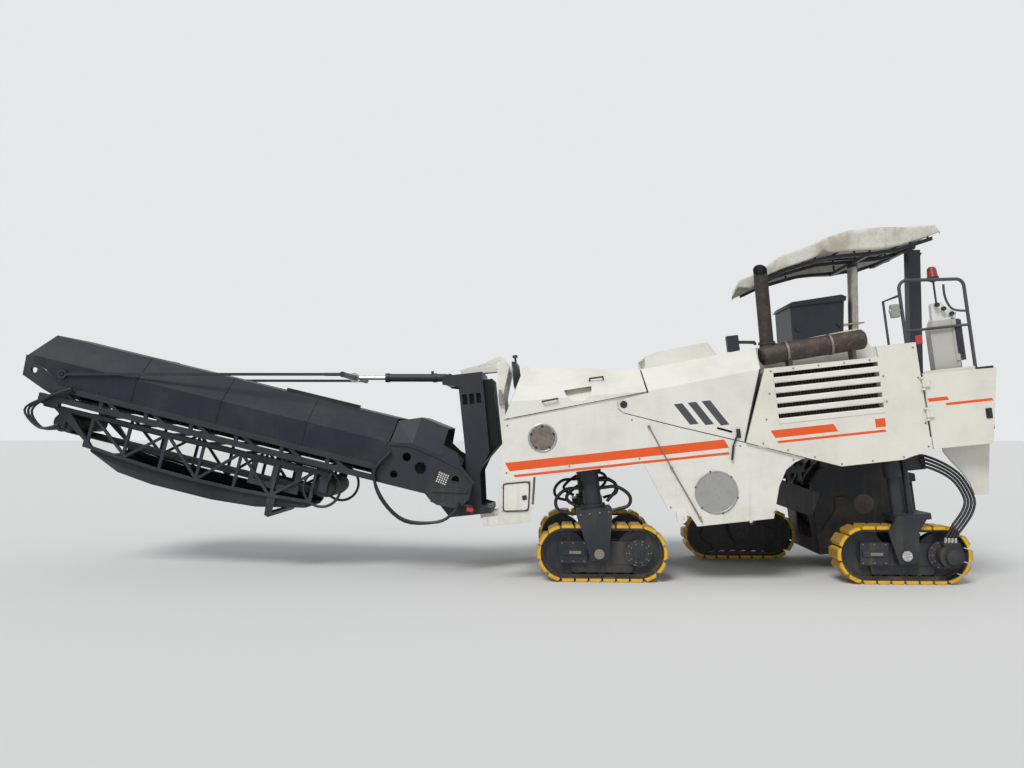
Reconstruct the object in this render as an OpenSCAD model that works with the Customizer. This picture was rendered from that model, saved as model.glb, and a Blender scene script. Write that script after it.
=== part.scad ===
/* [Stance] */
// Pitch of the raised chassis, nose down
pitch = 6.2; // [5:0.1:7]
// Radius of the track's ends over the shoes
track_r = 288; // [270:1:320]
// Rear pin behind the front pin, along the chassis
rear_x = 2985; // [2900:5:3100]
// Leg centre lines from the middle of the machine
leg_y = 770; // [740:5:800]
// Half width of the body panels
side_y = 1000; // [980:5:1040]

/* [Tracks] */
// Length of a track over its shoes
track_len = 1310; // [1250:5:1400]
// Front tracks behind their pins
track_shift = 32; // [0:2:60]
// Width of the shoes
shoe_w = 260; // [220:5:280]
// Shoes on one track
shoe_n = 22; // [18:1:24]
// Height of a shoe over the chain line
shoe_h = 42; // [30:1:50]
// Width of the chain inside the shoes
chain_w = 110; // [80:5:150]
// Thickness of a chain link
chain_t = 30; // [20:1:40]
// Diameter of the lower rollers
roller_d = 100; // [80:5:120]

/* [Legs] */
// Diameter of the front leg columns
column_d = 180; // [140:5:200]
// Diameter of the rear leg column
rear_column_d = 116; // [100:2:140]
// Diameter of the swing leg's column
swing_column_d = 150; // [120:5:170]
// Wall of the sleeves that guide the columns
sleeve_t = 30; // [20:1:45]
// Running clearance of a column in its sleeve
fit = 0.05; // [0.02:0.01:0.09]
// Thickness of the fork cheeks
cheek_t = 35; // [25:1:45]
// Gap between a track and its fork cheek
cheek_gap = 15; // [10:1:25]
// Diameter of the track pins
pin_d = 90; // [70:2:110]
// Swing leg pin ahead of the drum box
swing_gap = 110; // [90:5:140]
// Swing leg's centre line inwards of its pin
swing_offset = 225; // [215:5:260]

/* [Drum] */
// Milling width
drum_w = 1000; // [800:10:1020]
// Cutting circle over the pick tips
cut_d = 980; // [900:5:1000]
// Drum tube diameter
tube_d = 740; // [650:5:780]
// Right side of the drum box from the middle of the machine
box_right = 1100; // [1080:5:1110]
// Drum axis over the front pins, in the chassis
drum_z = 100; // [60:5:140]
// Free gap between pick tips and box
cut_gap = 30; // [20:1:60]
// Plate of the drum box
box_t = 20; // [12:1:30]
// Picks on each of the two helices
pick_n = 26; // [16:2:32]

/* [Conveyor] */
// Slope of the conveyor over the chassis
incline = 19.8; // [15:0.2:24]
// Slewing axis ahead of the front pins
slew_x = 1130; // [1100:5:1180]
// Lift pin ahead of the front pins
lift_x = 1560; // [1520:5:1600]
// Lift pin over the front pins
lift_z = 690; // [650:5:720]
// Half width of the inner section
inner_y = 550; // [500:5:580]
// Half width of the outer section
outer_y = 450; // [400:5:480]
// Fold pin along the conveyor from the lift pin
fold_u = 4500; // [4300:20:4700]
// Length of the folded outer section
outer_len = 3260; // [3000:20:3300]
// Radius of the belt drums
belt_r = 100; // [80:2:110]
// Width of the belt
belt_w = 500; // [400:10:520]
// Thickness of the belt
belt_t = 12; // [8:1:20]
// Plate of the conveyor covers
cover_t = 8; // [5:1:15]
// Square tube of the conveyor frames
chord = 60; // [40:2:70]
// Bays of the lattice along the inner section
bay_n = 7; // [5:1:9]

/* [Body] */
// Sheet thickness of the panels
sheet = 20; // [10:1:30]
// Sheet thickness of the bonnet
bonnet_t = 8; // [5:1:12]
// Louvre bars of the cooling air grille
louvre_n = 5; // [4:1:7]
// Thickness of the platform deck
deck_t = 40; // [25:5:60]
// Diameter of the hand rails
rail_d = 34; // [26:1:42]
// Diameter of the hydraulic hoses
hose_d = 26; // [20:1:34]

/* [Hidden] */
$fn = 48;

white = [0.90, 0.89, 0.84];
slate = [0.22, 0.25, 0.29];
yellow = [0.88, 0.70, 0.12];
rust = [0.36, 0.25, 0.20];
zinc = [0.60, 0.58, 0.53];
black = [0.06, 0.06, 0.07];

// What seats face to face on a slanted surface keeps this much clear of it
seat = 0.3;

// The frame's origin lies under the middle of the bounding box
rear_lug_x = -4080;
rear_lug_z = 850;
head_tip = [4812, 197];
head_slope = incline - pitch;
rear_end = rear_lug_x * cos(pitch) + rear_lug_z * sin(pitch);
front_end = lift_x * cos(pitch) + lift_z * sin(pitch) + head_tip[0] * cos(head_slope) - head_tip[1] *
  sin(head_slope);
centre_x = (rear_end + front_end) / 2;
centre_y = (side_y - box_right) / 2 + 15;

chain_r = track_r - shoe_h;
inner_r = chain_r - chain_t;
axle_dx = track_len / 2 - track_r;
drum_x = -rear_x;
cut_r = cut_d / 2 + cut_gap;
crease_slope = 0.0827;
hood_front = 800;

function crease_z(x) = 1436 + crease_slope * (hood_front - x);
// Height in the chassis at which a pin stands level over the ground
function pin_level(x) = x * tan(pitch);

module chassis() translate([-centre_x, -centre_y, track_r]) rotate([0, pitch, 0]) children();
module level_at(x, y) translate([x / cos(pitch) - centre_x, y - centre_y, track_r]) children();
// An outline in X and Z, from y to y + t
module slab(y, t) translate([0, y + t, 0]) rotate([90, 0, 0]) linear_extrude(t) children();
// The same outline on both sides, from y to y + t and mirrored
module both(y, t) for (s = [-1, 1]) slab(s > 0 ? y : -y - t, t) children();
// A block between two corners
module block(a, b) translate(a) cube(b - a);
// A round bar along Y, from y to y + t
module bar_y(x, y, z, d, t) translate([x, y + t, z]) rotate([90, 0, 0]) cylinder(d = d, h = t);
// A flat bar in X and Z between two points
module strut(a, b, w) translate(a) rotate(atan2(b[1] - a[1], b[0] - a[0])) translate([-w / 2, -w / 2])
  square([norm(b - a) + w, w]);
// The convex body around a few points
module around(points) hull() polyhedron(points, [for (i = [0 : len(points) - 3]) [i, i + 1, i + 2]]);

// A body through rings of equally many points, counter-clockwise along the way
module loft(rings) {
  n = len(rings[0]);
  m = len(rings);
  polyhedron([for (ring = rings) for (p = ring) p], concat(
    [[for (k = [0 : n - 1]) k]],
    [for (i = [0 : m - 2]) for (k = [0 : n - 1]) for (f = [0, 1]) let (
      a = i * n + k,
      b = i * n + (k + 1) % n
    ) f == 0 ? [a, a + n, b + n] : [a, b + n, b]],
    [[for (k = [n - 1 : -1 : 0]) (m - 1) * n + k]]
  ));
}

// A smooth curve through a few points
function on_curve(p, i, t) = let (
  a = p[max(i - 1, 0)],
  b = p[i],
  c = p[i + 1],
  d = p[min(i + 2, len(p) - 1)]
) 0.5 * (2 * b + (c - a) * t + (2 * a - 5 * b + 4 * c - d) * pow(t, 2) + (3 * b - a - 3 * c + d) * pow(t,
  3));
function smooth(p, steps) = [
  for (i = [0 : len(p) - 2]) for (k = [0 : steps - 1]) on_curve(p, i, k / steps),
  p[len(p) - 1]
];

// A round bar or hose along a path that never runs in the direction side
module tube(path, d, side, n = 8) {
  m = len(path);
  loft([for (i = [0 : m - 1]) let (
    t = path[min(i + 1, m - 1)] - path[max(i - 1, 0)],
    u = cross(t, side) / norm(cross(t, side)),
    v = cross(t, u) / norm(t)
  ) [for (k = [0 : n - 1]) path[i] + d / 2 * (u * cos(k * 360 / n) + v * sin(k * 360 / n))]]);
}

// The welded main frame with the sleeves of the three fixed legs
sleeve_front_z = 800;
sleeve_rear_z = 440;
rear_column_x = -rear_x - 35;
beam_y = 420;
beam_w = 90;
lash_d = 50;
swing_pin_d = 50;
swing_top = 740;
swing_low = 440;
inner_face = side_y - sheet;
swing_x = drum_x + cut_d / 2 + cut_gap + swing_gap;
swing_y = -box_right + 20;
deck_z = 1400;
deck_top = deck_z + deck_t;

module chassis_frame() {
  front_top = 1240;
  rear_top = 1040;
  chassis() color(slate) difference() {
    union() {
      for (s = [-1, 1]) {
        block([-2380, s > 0 ? beam_y : -beam_y - beam_w, 880],
          [hood_front + 1, s > 0 ? beam_y + beam_w : -beam_y, 1100]);
        translate([0, s * leg_y, 0]) block([-170, -170, 930], [170, 170, 1160]);
        translate([0, s * (leg_y + beam_y) / 2, 0]) block([-130, -180, 960], [130, 180, 1100]);
        translate([0, s * leg_y, sleeve_front_z])
          cylinder(d = column_d + 2 * sleeve_t, h = front_top - sleeve_front_z);
      }
      for (x = [640, -480, -1400, -2380]) block([x, -inner_face, 900], [x + 60, inner_face, 960]);
      block([-3980, beam_y, 780], [-2320, beam_y + beam_w, 1000]);
      block([rear_column_x - 120, beam_y + beam_w - 5, 780], [rear_column_x + 120, leg_y + 90, 960]);
      translate([rear_column_x, leg_y, sleeve_rear_z])
        cylinder(d = rear_column_d + 2 * sleeve_t, h = rear_top - sleeve_rear_z);
      block([-3980, -inner_face, 820], [-2320, -inner_face + beam_w, 1000]);
      block([-3980, -inner_face + 1, 820], [-3890, inner_face, 1000]);
      block([swing_x - 70, swing_y - 45, swing_top + 1], [swing_x + 70, swing_y + 130, 1000]);
      translate([swing_x, swing_y, swing_low - 60]) cylinder(d = swing_pin_d,
        h = swing_top - swing_low + 70);
      for (y = [-600, 560]) slab(y, 40)
        polygon([[-3979, 820], [-3979, 960], [rear_lug_x, 930], [rear_lug_x, rear_lug_z]]);
      // Valve block for the drum and the legs, under the left rail
      block([-2240, beam_y + 10, 560], [-2010, beam_y + beam_w, 881]);
      for (x = [-2210, -2150, -2090, -2030]) bar_y(x, beam_y + beam_w - 1, 640, 36, 90);
      for (x = [-2180, -2070]) translate([x, beam_y + 55, 470]) cylinder(d = 60, h = 91);
    }
    for (s = [-1, 1]) translate([0, s * leg_y, sleeve_front_z - 1])
      cylinder(d = column_d + 2 * fit, h = front_top);
    translate([rear_column_x, leg_y, sleeve_rear_z - 1])
      cylinder(d = rear_column_d + 2 * fit, h = rear_top);
    for (y = [-600, 560]) bar_y(-4030, y - 1, 890, lash_d, 42);
  }
}

// The white front body: water tank with its sloping hood and the duct of the conveyor
tank_rear = -650;
tank_low = 1100.3;
duct_y = [-380, 280];
function hood_points(w) = [for (s = [-1, 1]) for (p = [
  [hood_front - w, side_y - w, crease_z(hood_front) - w / 4], [705 - w, side_y - w, 1602 - w],
  [550 - w, 600 - w, 1965 - w], [tank_rear + w, 640 - w, 1800 - w],
  [tank_rear + w, side_y - w, crease_z(tank_rear) - w / 4]]) [p[0], s * p[1], p[2]]];
function tank_points(w) = [for (s = [-1, 1]) for (p = [
  [hood_front - w, tank_low - w], [hood_front - w, crease_z(hood_front)],
  [tank_rear + w, crease_z(tank_rear)], [tank_rear + w, tank_low - w]]) [p[0], s * (inner_face - w), p[1]]];

module front_tank() {
  chassis() color(white) difference() {
    union() {
      difference() {
        union() {
          around(hood_points(0));
          around(tank_points(0));
          for (s = [-1, 1])
            bar_y(bonnet_pin_x, s > 0 ? inner_face - 10 : -side_y - 8.5, bonnet_pin_z, 60, sheet + 18.5);
        }
        around(hood_points(sheet));
        around(tank_points(sheet));
        slab(duct_y[0], duct_y[1] - duct_y[0])
          polygon([[-660, 1000], [-660, 1205], [-420, 1320], [300, 1740], [560, 1990], [900, 1990],
            [900, 1000]]);
      }
      intersection() {
        slab(step_y - sheet, 300) step_outline(step_r + sheet);
        around(hood_points(1));
      }
    }
    // Step recess through the fold of the sloping side
    difference() {
      slab(step_y, 300) step_outline(step_r);
      around(hood_points(step_deep));
    }
  }
}

// Half round under a straight upper edge
step_r = 139;
step_y = 780;
step_deep = 60;
module step_outline(r) intersection() {
  translate([25, 1668]) circle(r = r, $fn = 32);
  translate([25, 1668 + r - step_r]) rotate(-3) translate([-r, -2 * r]) square([2 * r, 2 * r]);
}

// Side panels, as outlines in X and Z
left_outline = [
  [800, 1415], [905, 841], [960, 486], [1111, 484], [1120, 399], [645, 389], [568, 829],
  [-533, 850], [-730, 343], [-913, 327], [-988, 177], [-1738, 178], [-1829, 484], [-1917, 638],
  [-2013, 703], [-2115, 735], [-1555, 944], [-945, 1160], [-400, 1362], [-345, 1410], [-345, 1500]
];
hatch_open = [[870, 800], [903, 520], [654, 510], [602, 790]];
hatch_hinge = [[884, 790], [912, 530]];
hatch_pin_d = 8;
hatch_barrel_d = 16;

// Along the hatch's front edge, from its upper end
module hatch_axis(y) translate([hatch_hinge[0][0], y, hatch_hinge[0][1]])
  rotate([0, 180 - atan((hatch_hinge[1][0] - hatch_hinge[0][0]) / (hatch_hinge[0][1] - hatch_hinge[1][1])),
    0]) children();

module left_side_panel() {
  hinge_len = norm(hatch_hinge[1] - hatch_hinge[0]);
  chassis() color(white) difference() {
    union() {
      slab(inner_face, sheet) polygon(left_outline);
      bar_y(-847, inner_face, 274, 100, 30);
      block([-897, inner_face, 274], [-797, side_y + 10, 345]);
      hatch_axis(side_y + 8.1) {
        cylinder(d = hatch_pin_d, h = hinge_len);
        for (z = [0, hinge_len - 30]) translate([0, 0, z]) {
          cylinder(d = hatch_barrel_d, h = 30);
          translate([-hatch_barrel_d / 2, -9.1, 0]) cube([hatch_barrel_d, 9, 30]);
        }
      }
    }
    bar_y(-847, inner_face - 1, 274, lash_d, 40);
    slab(inner_face - 1, sheet + 2) polygon(hatch_open);
    bar_y(bonnet_pin_x, inner_face - 1, bonnet_pin_z, 60.6, sheet + 2);
  }
}

module right_side_panel() {
  chassis() color(white) difference() {
    slab(-side_y, sheet) polygon([
      [800, 1415], [905, 841], [960, 486], [645, 389], [568, 829], [-2440, 850], [-3960, 850],
      [-4040, 1380], [-3330, 1400], [-3330, 1740], [-2935, 1740], [-2935, 1640], [-1840, 1640],
      [-1555, 944], [-945, 1160], [-400, 1362], [-345, 1410], [-345, 1500]
    ]);
    bar_y(bonnet_pin_x, -side_y - 1, bonnet_pin_z, 60.6, sheet + 2);
    block([swing_x - 71, -side_y - 1, 840], [swing_x + 71, -inner_face + 1, 1001]);
  }
}

// Round inspection covers on the left panel: radius, thickness and place
cover_rows = [[434, 1207, 146, 6], [-1214, 490, 213, 12]];
module side_covers() {
  chassis() color(zinc) for (c = cover_rows) translate([c[0], side_y, c[1]]) rotate([-90, 0,
    0]) rotate_extrude()
    polygon([[0, 0], [c[2], 0], [c[2], c[3] * 0.6], [c[2] - 5, c[3]], [c[2] - 16, c[3]],
      [c[2] - 20, c[3] * 0.7], [0, c[3] * 0.7]]);
}

module engine_block() {
  chassis() color(slate) block([-1850, -beam_y - beam_w, 1100], [-900, beam_y + beam_w, 1640]);
}

// The tilting bonnet over the engine, hinged at its front ears
bonnet_pin_x = -406;
bonnet_pin_z = 1452;

module bonnet_form(y_out, y_in, drop) {
  intersection() {
    slab(-1200, 2400) polygon([
      [-345, 1428], [-391, 1374], [-939, 1170], [-1543, 956], [-1790, 1660], [-1845, 1900],
      [-655, 1805], [-665, 1542], [-420, 1510]
    ]);
    translate([hood_front, 0, 1436]) rotate([0, atan(crease_slope), 0]) rotate([90, 0, -90])
      linear_extrude(3000) polygon([
        [-y_out, -900], [-y_out, 0 - drop], [-y_in, 240 - drop], [y_in, 240 - drop],
        [y_out, 0 - drop], [y_out, -900]
      ]);
  }
}

// Air scoop on the bonnet, as outlines in X and Z
scoop = [[-738, 1812], [-755, 1950], [-878, 1988], [-1430, 2032], [-1532, 1868], [-1400, 1860]];
scoop_y = 360;
module engine_bonnet() {
  chassis() color(white) difference() {
    union() {
      bonnet_form(side_y + bonnet_t, 700, 0);
      slab(-scoop_y, 2 * scoop_y) polygon(scoop);
    }
    bonnet_form(side_y + 0.5, 700 - bonnet_t, bonnet_t);
    bar_y(bonnet_pin_x, -side_y - 50, bonnet_pin_z, 60 + 2 * fit, 2 * side_y + 100);
    // Grab slot low at the rear and the scoop's mouth
    slab(side_y - 5, 50) polygon([[-1298, 1130], [-1440, 1074], [-1434, 1054], [-1292, 1110]]);
    slab(-scoop_y + 30, 2 * scoop_y - 60) polygon([[-700, 1845], [-700, 1935], [-800, 1945], [-790, 1850]]);
  }
}

// The louvred cooling air panel on the left
louvre_outline = [
  [-1825, 1652], [-2940, 1644], [-2929, 1749], [-3315, 1748], [-3329, 690], [-3045, 618],
  [-2446, 616], [-1556, 948]
];
grille_x = [-2926, -1902];
grille_z = [1088, 1598];
louvre_t = 30;

module louvre_panel() {
  pitch_z = (grille_z[1] - grille_z[0]) / louvre_n;
  chassis() color(white) union() {
    difference() {
      slab(side_y, louvre_t) polygon(louvre_outline);
      block([grille_x[0], side_y - 1, grille_z[0]], [grille_x[1], side_y + louvre_t + 1, grille_z[1]]);
    }
    for (i = [0 : louvre_n - 1]) translate([grille_x[0] - 5, side_y, grille_z[0] + i * pitch_z])
      rotate([90, 0, 90]) linear_extrude(grille_x[1] - grille_x[0] + 10)
        polygon([[0, 0], [louvre_t, 0], [louvre_t + 6, 8], [louvre_t + 4, 48], [louvre_t - 4, 60],
          [louvre_t - 9, 56], [louvre_t - 4, 46], [louvre_t - 3, 10], [0, 8]]);
    for (z = hinge_z) {
      translate([hinge_x, hinge_y, z - 30]) cylinder(d = hinge_pin_d, h = hinge_h + 60);
      for (e = [z - 30, z + hinge_h + 10]) block([hinge_x - 8, side_y + louvre_t - 1, e],
        [hinge_x + 30, hinge_y + 8, e + 20]);
    }
  }
}

// Fins and tubes of the cooler behind the grille
core_y = 930;
module radiator_core() {
  fin_n = 32;
  gap = (grille_x[1] - grille_x[0]) / fin_n;
  chassis() color(black) union() {
    block([grille_x[0], core_y - 60, grille_z[0]], [grille_x[1], core_y - 20, grille_z[1]]);
    for (i = [0 : fin_n - 1]) block([grille_x[0] + (i + 0.3) * gap, core_y - 21, grille_z[0]],
      [grille_x[0] + (i + 0.7) * gap, core_y, grille_z[1]]);
  }
}

module rear_body() {
  chassis() color(white) difference() {
    union() {
      slab(-979, 1958) polygon([[-3335, 1000], [-3335, 1400], [-4040, 1400], [-3980, 1000]]);
      slab(780, 20) polygon([
        [-3540, 1001], [-3985, 1001], [-4000, 668], [-3922, 176], [-3787, 179], [-3755, 300],
        [-3693, 416], [-3600, 540], [-3540, 640]
      ]);
    }
    slab(-939, 1878) polygon([[-3375, 999], [-3375, 1360], [-3995, 1360], [-3940, 999]]);
    block([-3981, 779, 779], [-3889, 801, 1000]);
  }
}

door_outline = [[-3342, 1435], [-4052, 1414], [-3924, 685], [-3349, 689]];
hinge_x = -3330;
hinge_y = side_y + 50;
hinge_z = [1000, 1300];
hinge_h = 70;
hinge_pin_d = 14;
module rear_door() {
  chassis() color(white) difference() {
    union() {
      slab(side_y + 5, 20) polygon(door_outline);
      for (z = hinge_z) {
        translate([hinge_x, hinge_y, z]) cylinder(d = 30, h = hinge_h);
        block([hinge_x - 60, side_y + 25, z], [hinge_x - 4, hinge_y, z + hinge_h]);
      }
    }
    for (z = hinge_z) translate([hinge_x, hinge_y, z - 1]) cylinder(d = hinge_pin_d + 2 * fit,
      h = hinge_h + 2);
  }
}

module front_hatch() {
  hinge_len = norm(hatch_hinge[1] - hatch_hinge[0]);
  chassis() color(white) difference() {
    union() {
      slab(side_y - 12, 12.2) polygon([[860, 790], [892, 530], [664, 520], [614, 780]]);
      slab(side_y + 0.2, 6) polygon([[874, 792], [902, 526], [680, 508], [652, 518], [612, 770],
        [630, 790]]);
      hatch_axis(side_y + 8.1) translate([0, 0, 40]) {
        cylinder(d = hatch_barrel_d, h = hinge_len - 80);
        translate([0, -7.9, 0]) cube([20, 5, hinge_len - 80]);
      }
    }
    hatch_axis(side_y + 8.1) cylinder(d = hatch_pin_d + 2 * fit, h = hinge_len);
  }
}

module platform_deck() {
  chassis() color(slate) block([-4060, -960, deck_z], [-3345, 960, deck_top]);
}

// The box with the cooler and the oil tank behind the engine
cowl_y = 450;
box_top = 1630;
module cooler_box() {
  chassis() color(white) difference() {
    union() {
      slab(-inner_face, inner_face + side_y) polygon([[-1905, 1100], [-1905, box_top], [-3300, box_top],
        [-3300, 1010], [-2385, 1010], [-2385, 1100]]);
      slab(-inner_face, inner_face + cowl_y) polygon([[-1905, box_top - 1], [-1905, 1905], [-2985, 1992],
        [-3113, 1782], [-3260, 1780], [-3260, box_top - 1]]);
    }
    block([-3200, post_y - 70, 1782], [-2900, post_y + 70, 2100]);
    slab(-side_y + 2 * sheet, side_y - 2 * sheet + core_y)
      polygon([[-1925, 1050], [-1925, box_top - 20], [-3280, box_top - 20], [-3280, 990], [-2405, 990],
        [-2405, 1050]]);
    slab(core_y - 80, side_y) polygon([for (p = [[0, 0], [0, 1], [1, 1], [1, 0]]) [grille_x[p[0]],
      grille_z[p[1]]]]);
  }
}

// Hand rail along the platform's left edge
rail_y = 900;
module platform_rail() {
  foot = [-3281, box_top + seat];
  top = [for (a = [90 : -15 : 0]) [foot[0] - 80 + 80 * cos(a), rail_y, 2302 + 80 * sin(a)]];
  back = [for (a = [180 : -15 : 105]) [-3838 + 80 * cos(a), rail_y, 2262 + 80 * sin(a)]];
  chassis() color(slate) union() {
    tube(concat([[-3918, rail_y, deck_top + seat]], back, top, [[foot[0], rail_y, foot[1]]]), rail_d,
      [0, 1, 0], 12);
    tube([[-3918, rail_y, 1873], [foot[0], rail_y, 1873]], rail_d * 0.8, [0, 1, 0], 10);
    // Grab hoop over the control column
    tube(smooth([[-3720, rail_y, 2300], [-3740, rail_y - 40, 2170], [-3800, rail_y - 50, 2050],
      [-3918, rail_y, 2010]], 4),
      rail_d * 0.7, [0, 1, 0], 8);
    // Step rail at the front of the platform
    tube([[foot[0], rail_y, 2240], [foot[0], cowl_y + 30, 2240], [foot[0], cowl_y + 30, foot[1]]],
      rail_d * 0.8, [1, 0, 0], 8);
  }
}

// Seat cowl over the cooler box, with its raised lid
module control_console() {
  chassis() color(slate) union() {
    slab(-400, 600) polygon([[-2380, 1943.2 + seat], [-2935, 1988 + seat], [-2985, 2330], [-2400, 2330]]);
    slab(-420, 640) polygon([[-2375, 2329], [-3000, 2329], [-3010, 2372], [-2960, 2400], [-2420, 2378]]);
    for (x = [-2450, -2900]) bar_y(x, 199, 2080, 50, 22);
  }
}

// White control column, switch box and lamp on the platform's left edge
lamp_top = 2130;
module rear_console() {
  chassis() color(zinc) union() {
    slab(760, 110) polygon([[-3543, deck_top], [-3807, deck_top], [-3800, 1780], [-3760, 1967],
      [-3590, 1967], [-3543, 1860]]);
    slab(750, 130) polygon([[-3760, 1529], [-3852, 1529], [-3852, 1930], [-3830, 1945], [-3760, 1945]]);
    slab(790, 50) polygon([[-3590, 1966], [-3822, 1950], [-3835, 2010], [-3760, 2060], [-3700, lamp_top],
      [-3610, lamp_top], [-3596, 2110]]);
    for (p = [[-3640, 2110], [-3700, 2060], [-3770, 2000]]) bar_y(p[0], 839, p[1], 38, 36);
  }
}

muffler_y = 650;
muffler_z = 1805;
muffler_slope = 3;
muffler_d = 205;
muffler_len = 1080;
stack_x = -1975;
stack_lean = 2;
stack_foot = 125;
stack_d = 140;
module muffler() {
  chassis() color(rust) union() {
    translate([-1895, muffler_y, muffler_z]) rotate([0, -90 + muffler_slope, 0]) {
      cylinder(d1 = muffler_d - 50, d2 = muffler_d, h = 25);
      translate([0, 0, 25]) cylinder(d = muffler_d, h = muffler_len - 50);
      translate([0, 0, muffler_len - 25]) cylinder(d1 = muffler_d, d2 = muffler_d - 50, h = 25);
      for (u = [255, 705]) translate([0, 0, u]) cylinder(d = muffler_d + 10, h = 30);
    }
    for (x = [-2200, -2850]) block([x, muffler_y - 60, 1630], [x + 40, muffler_y + 60, 1790]);
    translate([stack_x, muffler_y, muffler_z]) rotate([0, -stack_lean, 0]) {
      cylinder(d = stack_d + 10, h = stack_foot);
      translate([0, 0, stack_foot - 14]) cylinder(d = stack_d + 34, h = 14);
    }
  }
}

module exhaust_stack() {
  chassis() color(rust) translate([stack_x, muffler_y, muffler_z]) rotate([0, -stack_lean,
    0]) difference() {
    union() {
      translate([0, 0, stack_foot]) cylinder(d = stack_d, h = 850);
      translate([0, 0, stack_foot]) cylinder(d = stack_d + 30, h = 12);
    }
    translate([0, 0, stack_foot + 20]) cylinder(d = stack_d - 8, h = 1000);
    // Slanted mouth
    translate([0, 0, 890]) rotate([-45, 10, 0]) translate([-300, -300, 0]) cube([600, 600, 400]);
  }
}

// The canopy on its two posts, and its ribs
post_y = -60;
post_lean = 6.4;
post_d = 110;
canopy_left = 560;
canopy_right = -1000;
canopy_under = [[-1749, 2555], [-1926, 2520], [-2094, 2640], [-2333, 2722], [-2629, 2775], [-2793, 2800],
  [-2964, 2800], [-3268, 2790], [-3517, 2795], [-3714, 2838], [-3941, 2890]];
canopy_top = [[-3890, 3004], [-3623, 3013], [-3300, 3045], [-3012, 3050], [-2815, 3014], [-2572, 2934],
  [-2273, 2860], [-2002, 2714], [-1811, 2657]];
rib_t = 36;
// The ribs follow the cloth's underside
rib_line = [for (i = [2 : 9]) canopy_under[i]];
module canopy_frame() {
  chassis() color(zinc) difference() {
    union() {
      translate([-3113, post_y, 1770]) rotate([0, -post_lean, 0]) cylinder(d = post_d, h = 1010);
      block([-3240, post_y - 90, 2080], [-2995, post_y + 90, 2095]);
      block([-3190, post_y - 68, 1782], [-3036, post_y + 68, 1796]);
      translate([-3740, post_y, deck_top]) rotate([0, -post_lean, 0]) block([-65, -60, 8], [65, 60, 1400]);
      block([-3820, post_y - 90, deck_top], [-3660, post_y + 90, deck_top + 15]);
      // Gusset on the rear post
      slab(post_y - 12, 24) polygon([[-3795, 2560], [-3855, 2780], [-4000, 2800], [-3960, 2740],
        [-3850, 2540]]);
      for (y = [-700, -20, 400]) slab(y, 40) polygon(concat(
        [for (p = rib_line) [p[0], p[1] - seat]],
        [[-3900, 2880 - seat], [-3900, 2840]],
        [for (i = [len(rib_line) - 1 : -1 : 0]) [rib_line[i][0], rib_line[i][1] - rib_t - seat]]));
      for (p = [[-3714, 2780], [-3230, 2745]]) block([p[0], -700, p[1]], [p[0] + 50, 440, p[1] + 35]);
    }
    block([-3400, post_y - 100, 1700], [-3000, post_y + 100, 1782]);
  }
}

module canopy() {
  chassis() color(white) difference() {
    slab(canopy_right, canopy_left - canopy_right) polygon(concat(canopy_under, canopy_top));
    translate([0, 0, 2400]) linear_extrude(400) polygon([
      [canopy_under[0][0] - 2, canopy_left], [-2050, canopy_right - 1], [-1700, canopy_right - 1],
        [-1700, canopy_left]]);
  }
}

module beacon() {
  chassis() color("red") union() {
    translate([-3666, 815, lamp_top + seat]) cylinder(d = 20, h = 260);
    translate([-3666, 815, 2362]) cylinder(d = 110, h = 30);
    translate([-3666, 815, 2391]) cylinder(d1 = 104, d2 = 88, h = 90);
    translate([-3666, 815, 2480]) cylinder(d1 = 88, d2 = 50, h = 20);
  }
}

// The drum box, the drum and the scraper door behind it
shaft_d = 220;
drum_y0 = -box_right + box_t + 20;
box_left = drum_y0 + drum_w + 20;
skirt = 500;
housing_y = [-box_right, box_left + box_t];
scraper_pin_d = 40;

module housing_section(grow) translate([drum_x, drum_z]) {
  circle(cut_r + grow);
  translate([-cut_r - grow, -skirt]) square([2 * (cut_r + grow), skirt]);
}

// The box's saddle under the frame, and its cheek at the left, as outlines
saddle = [[drum_x + 330, drum_z + 430], [drum_x + 260, drum_z + 590], [drum_x - 260, drum_z + 590],
  [drum_x - 330, drum_z + 430]];
stiffener = [[-2435, -204], [-2661, 67], [-2679, 208], [-2788, 208], [-2905, 60], [-2780, -20],
  [-2560, -330], [-2450, -330]];

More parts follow.
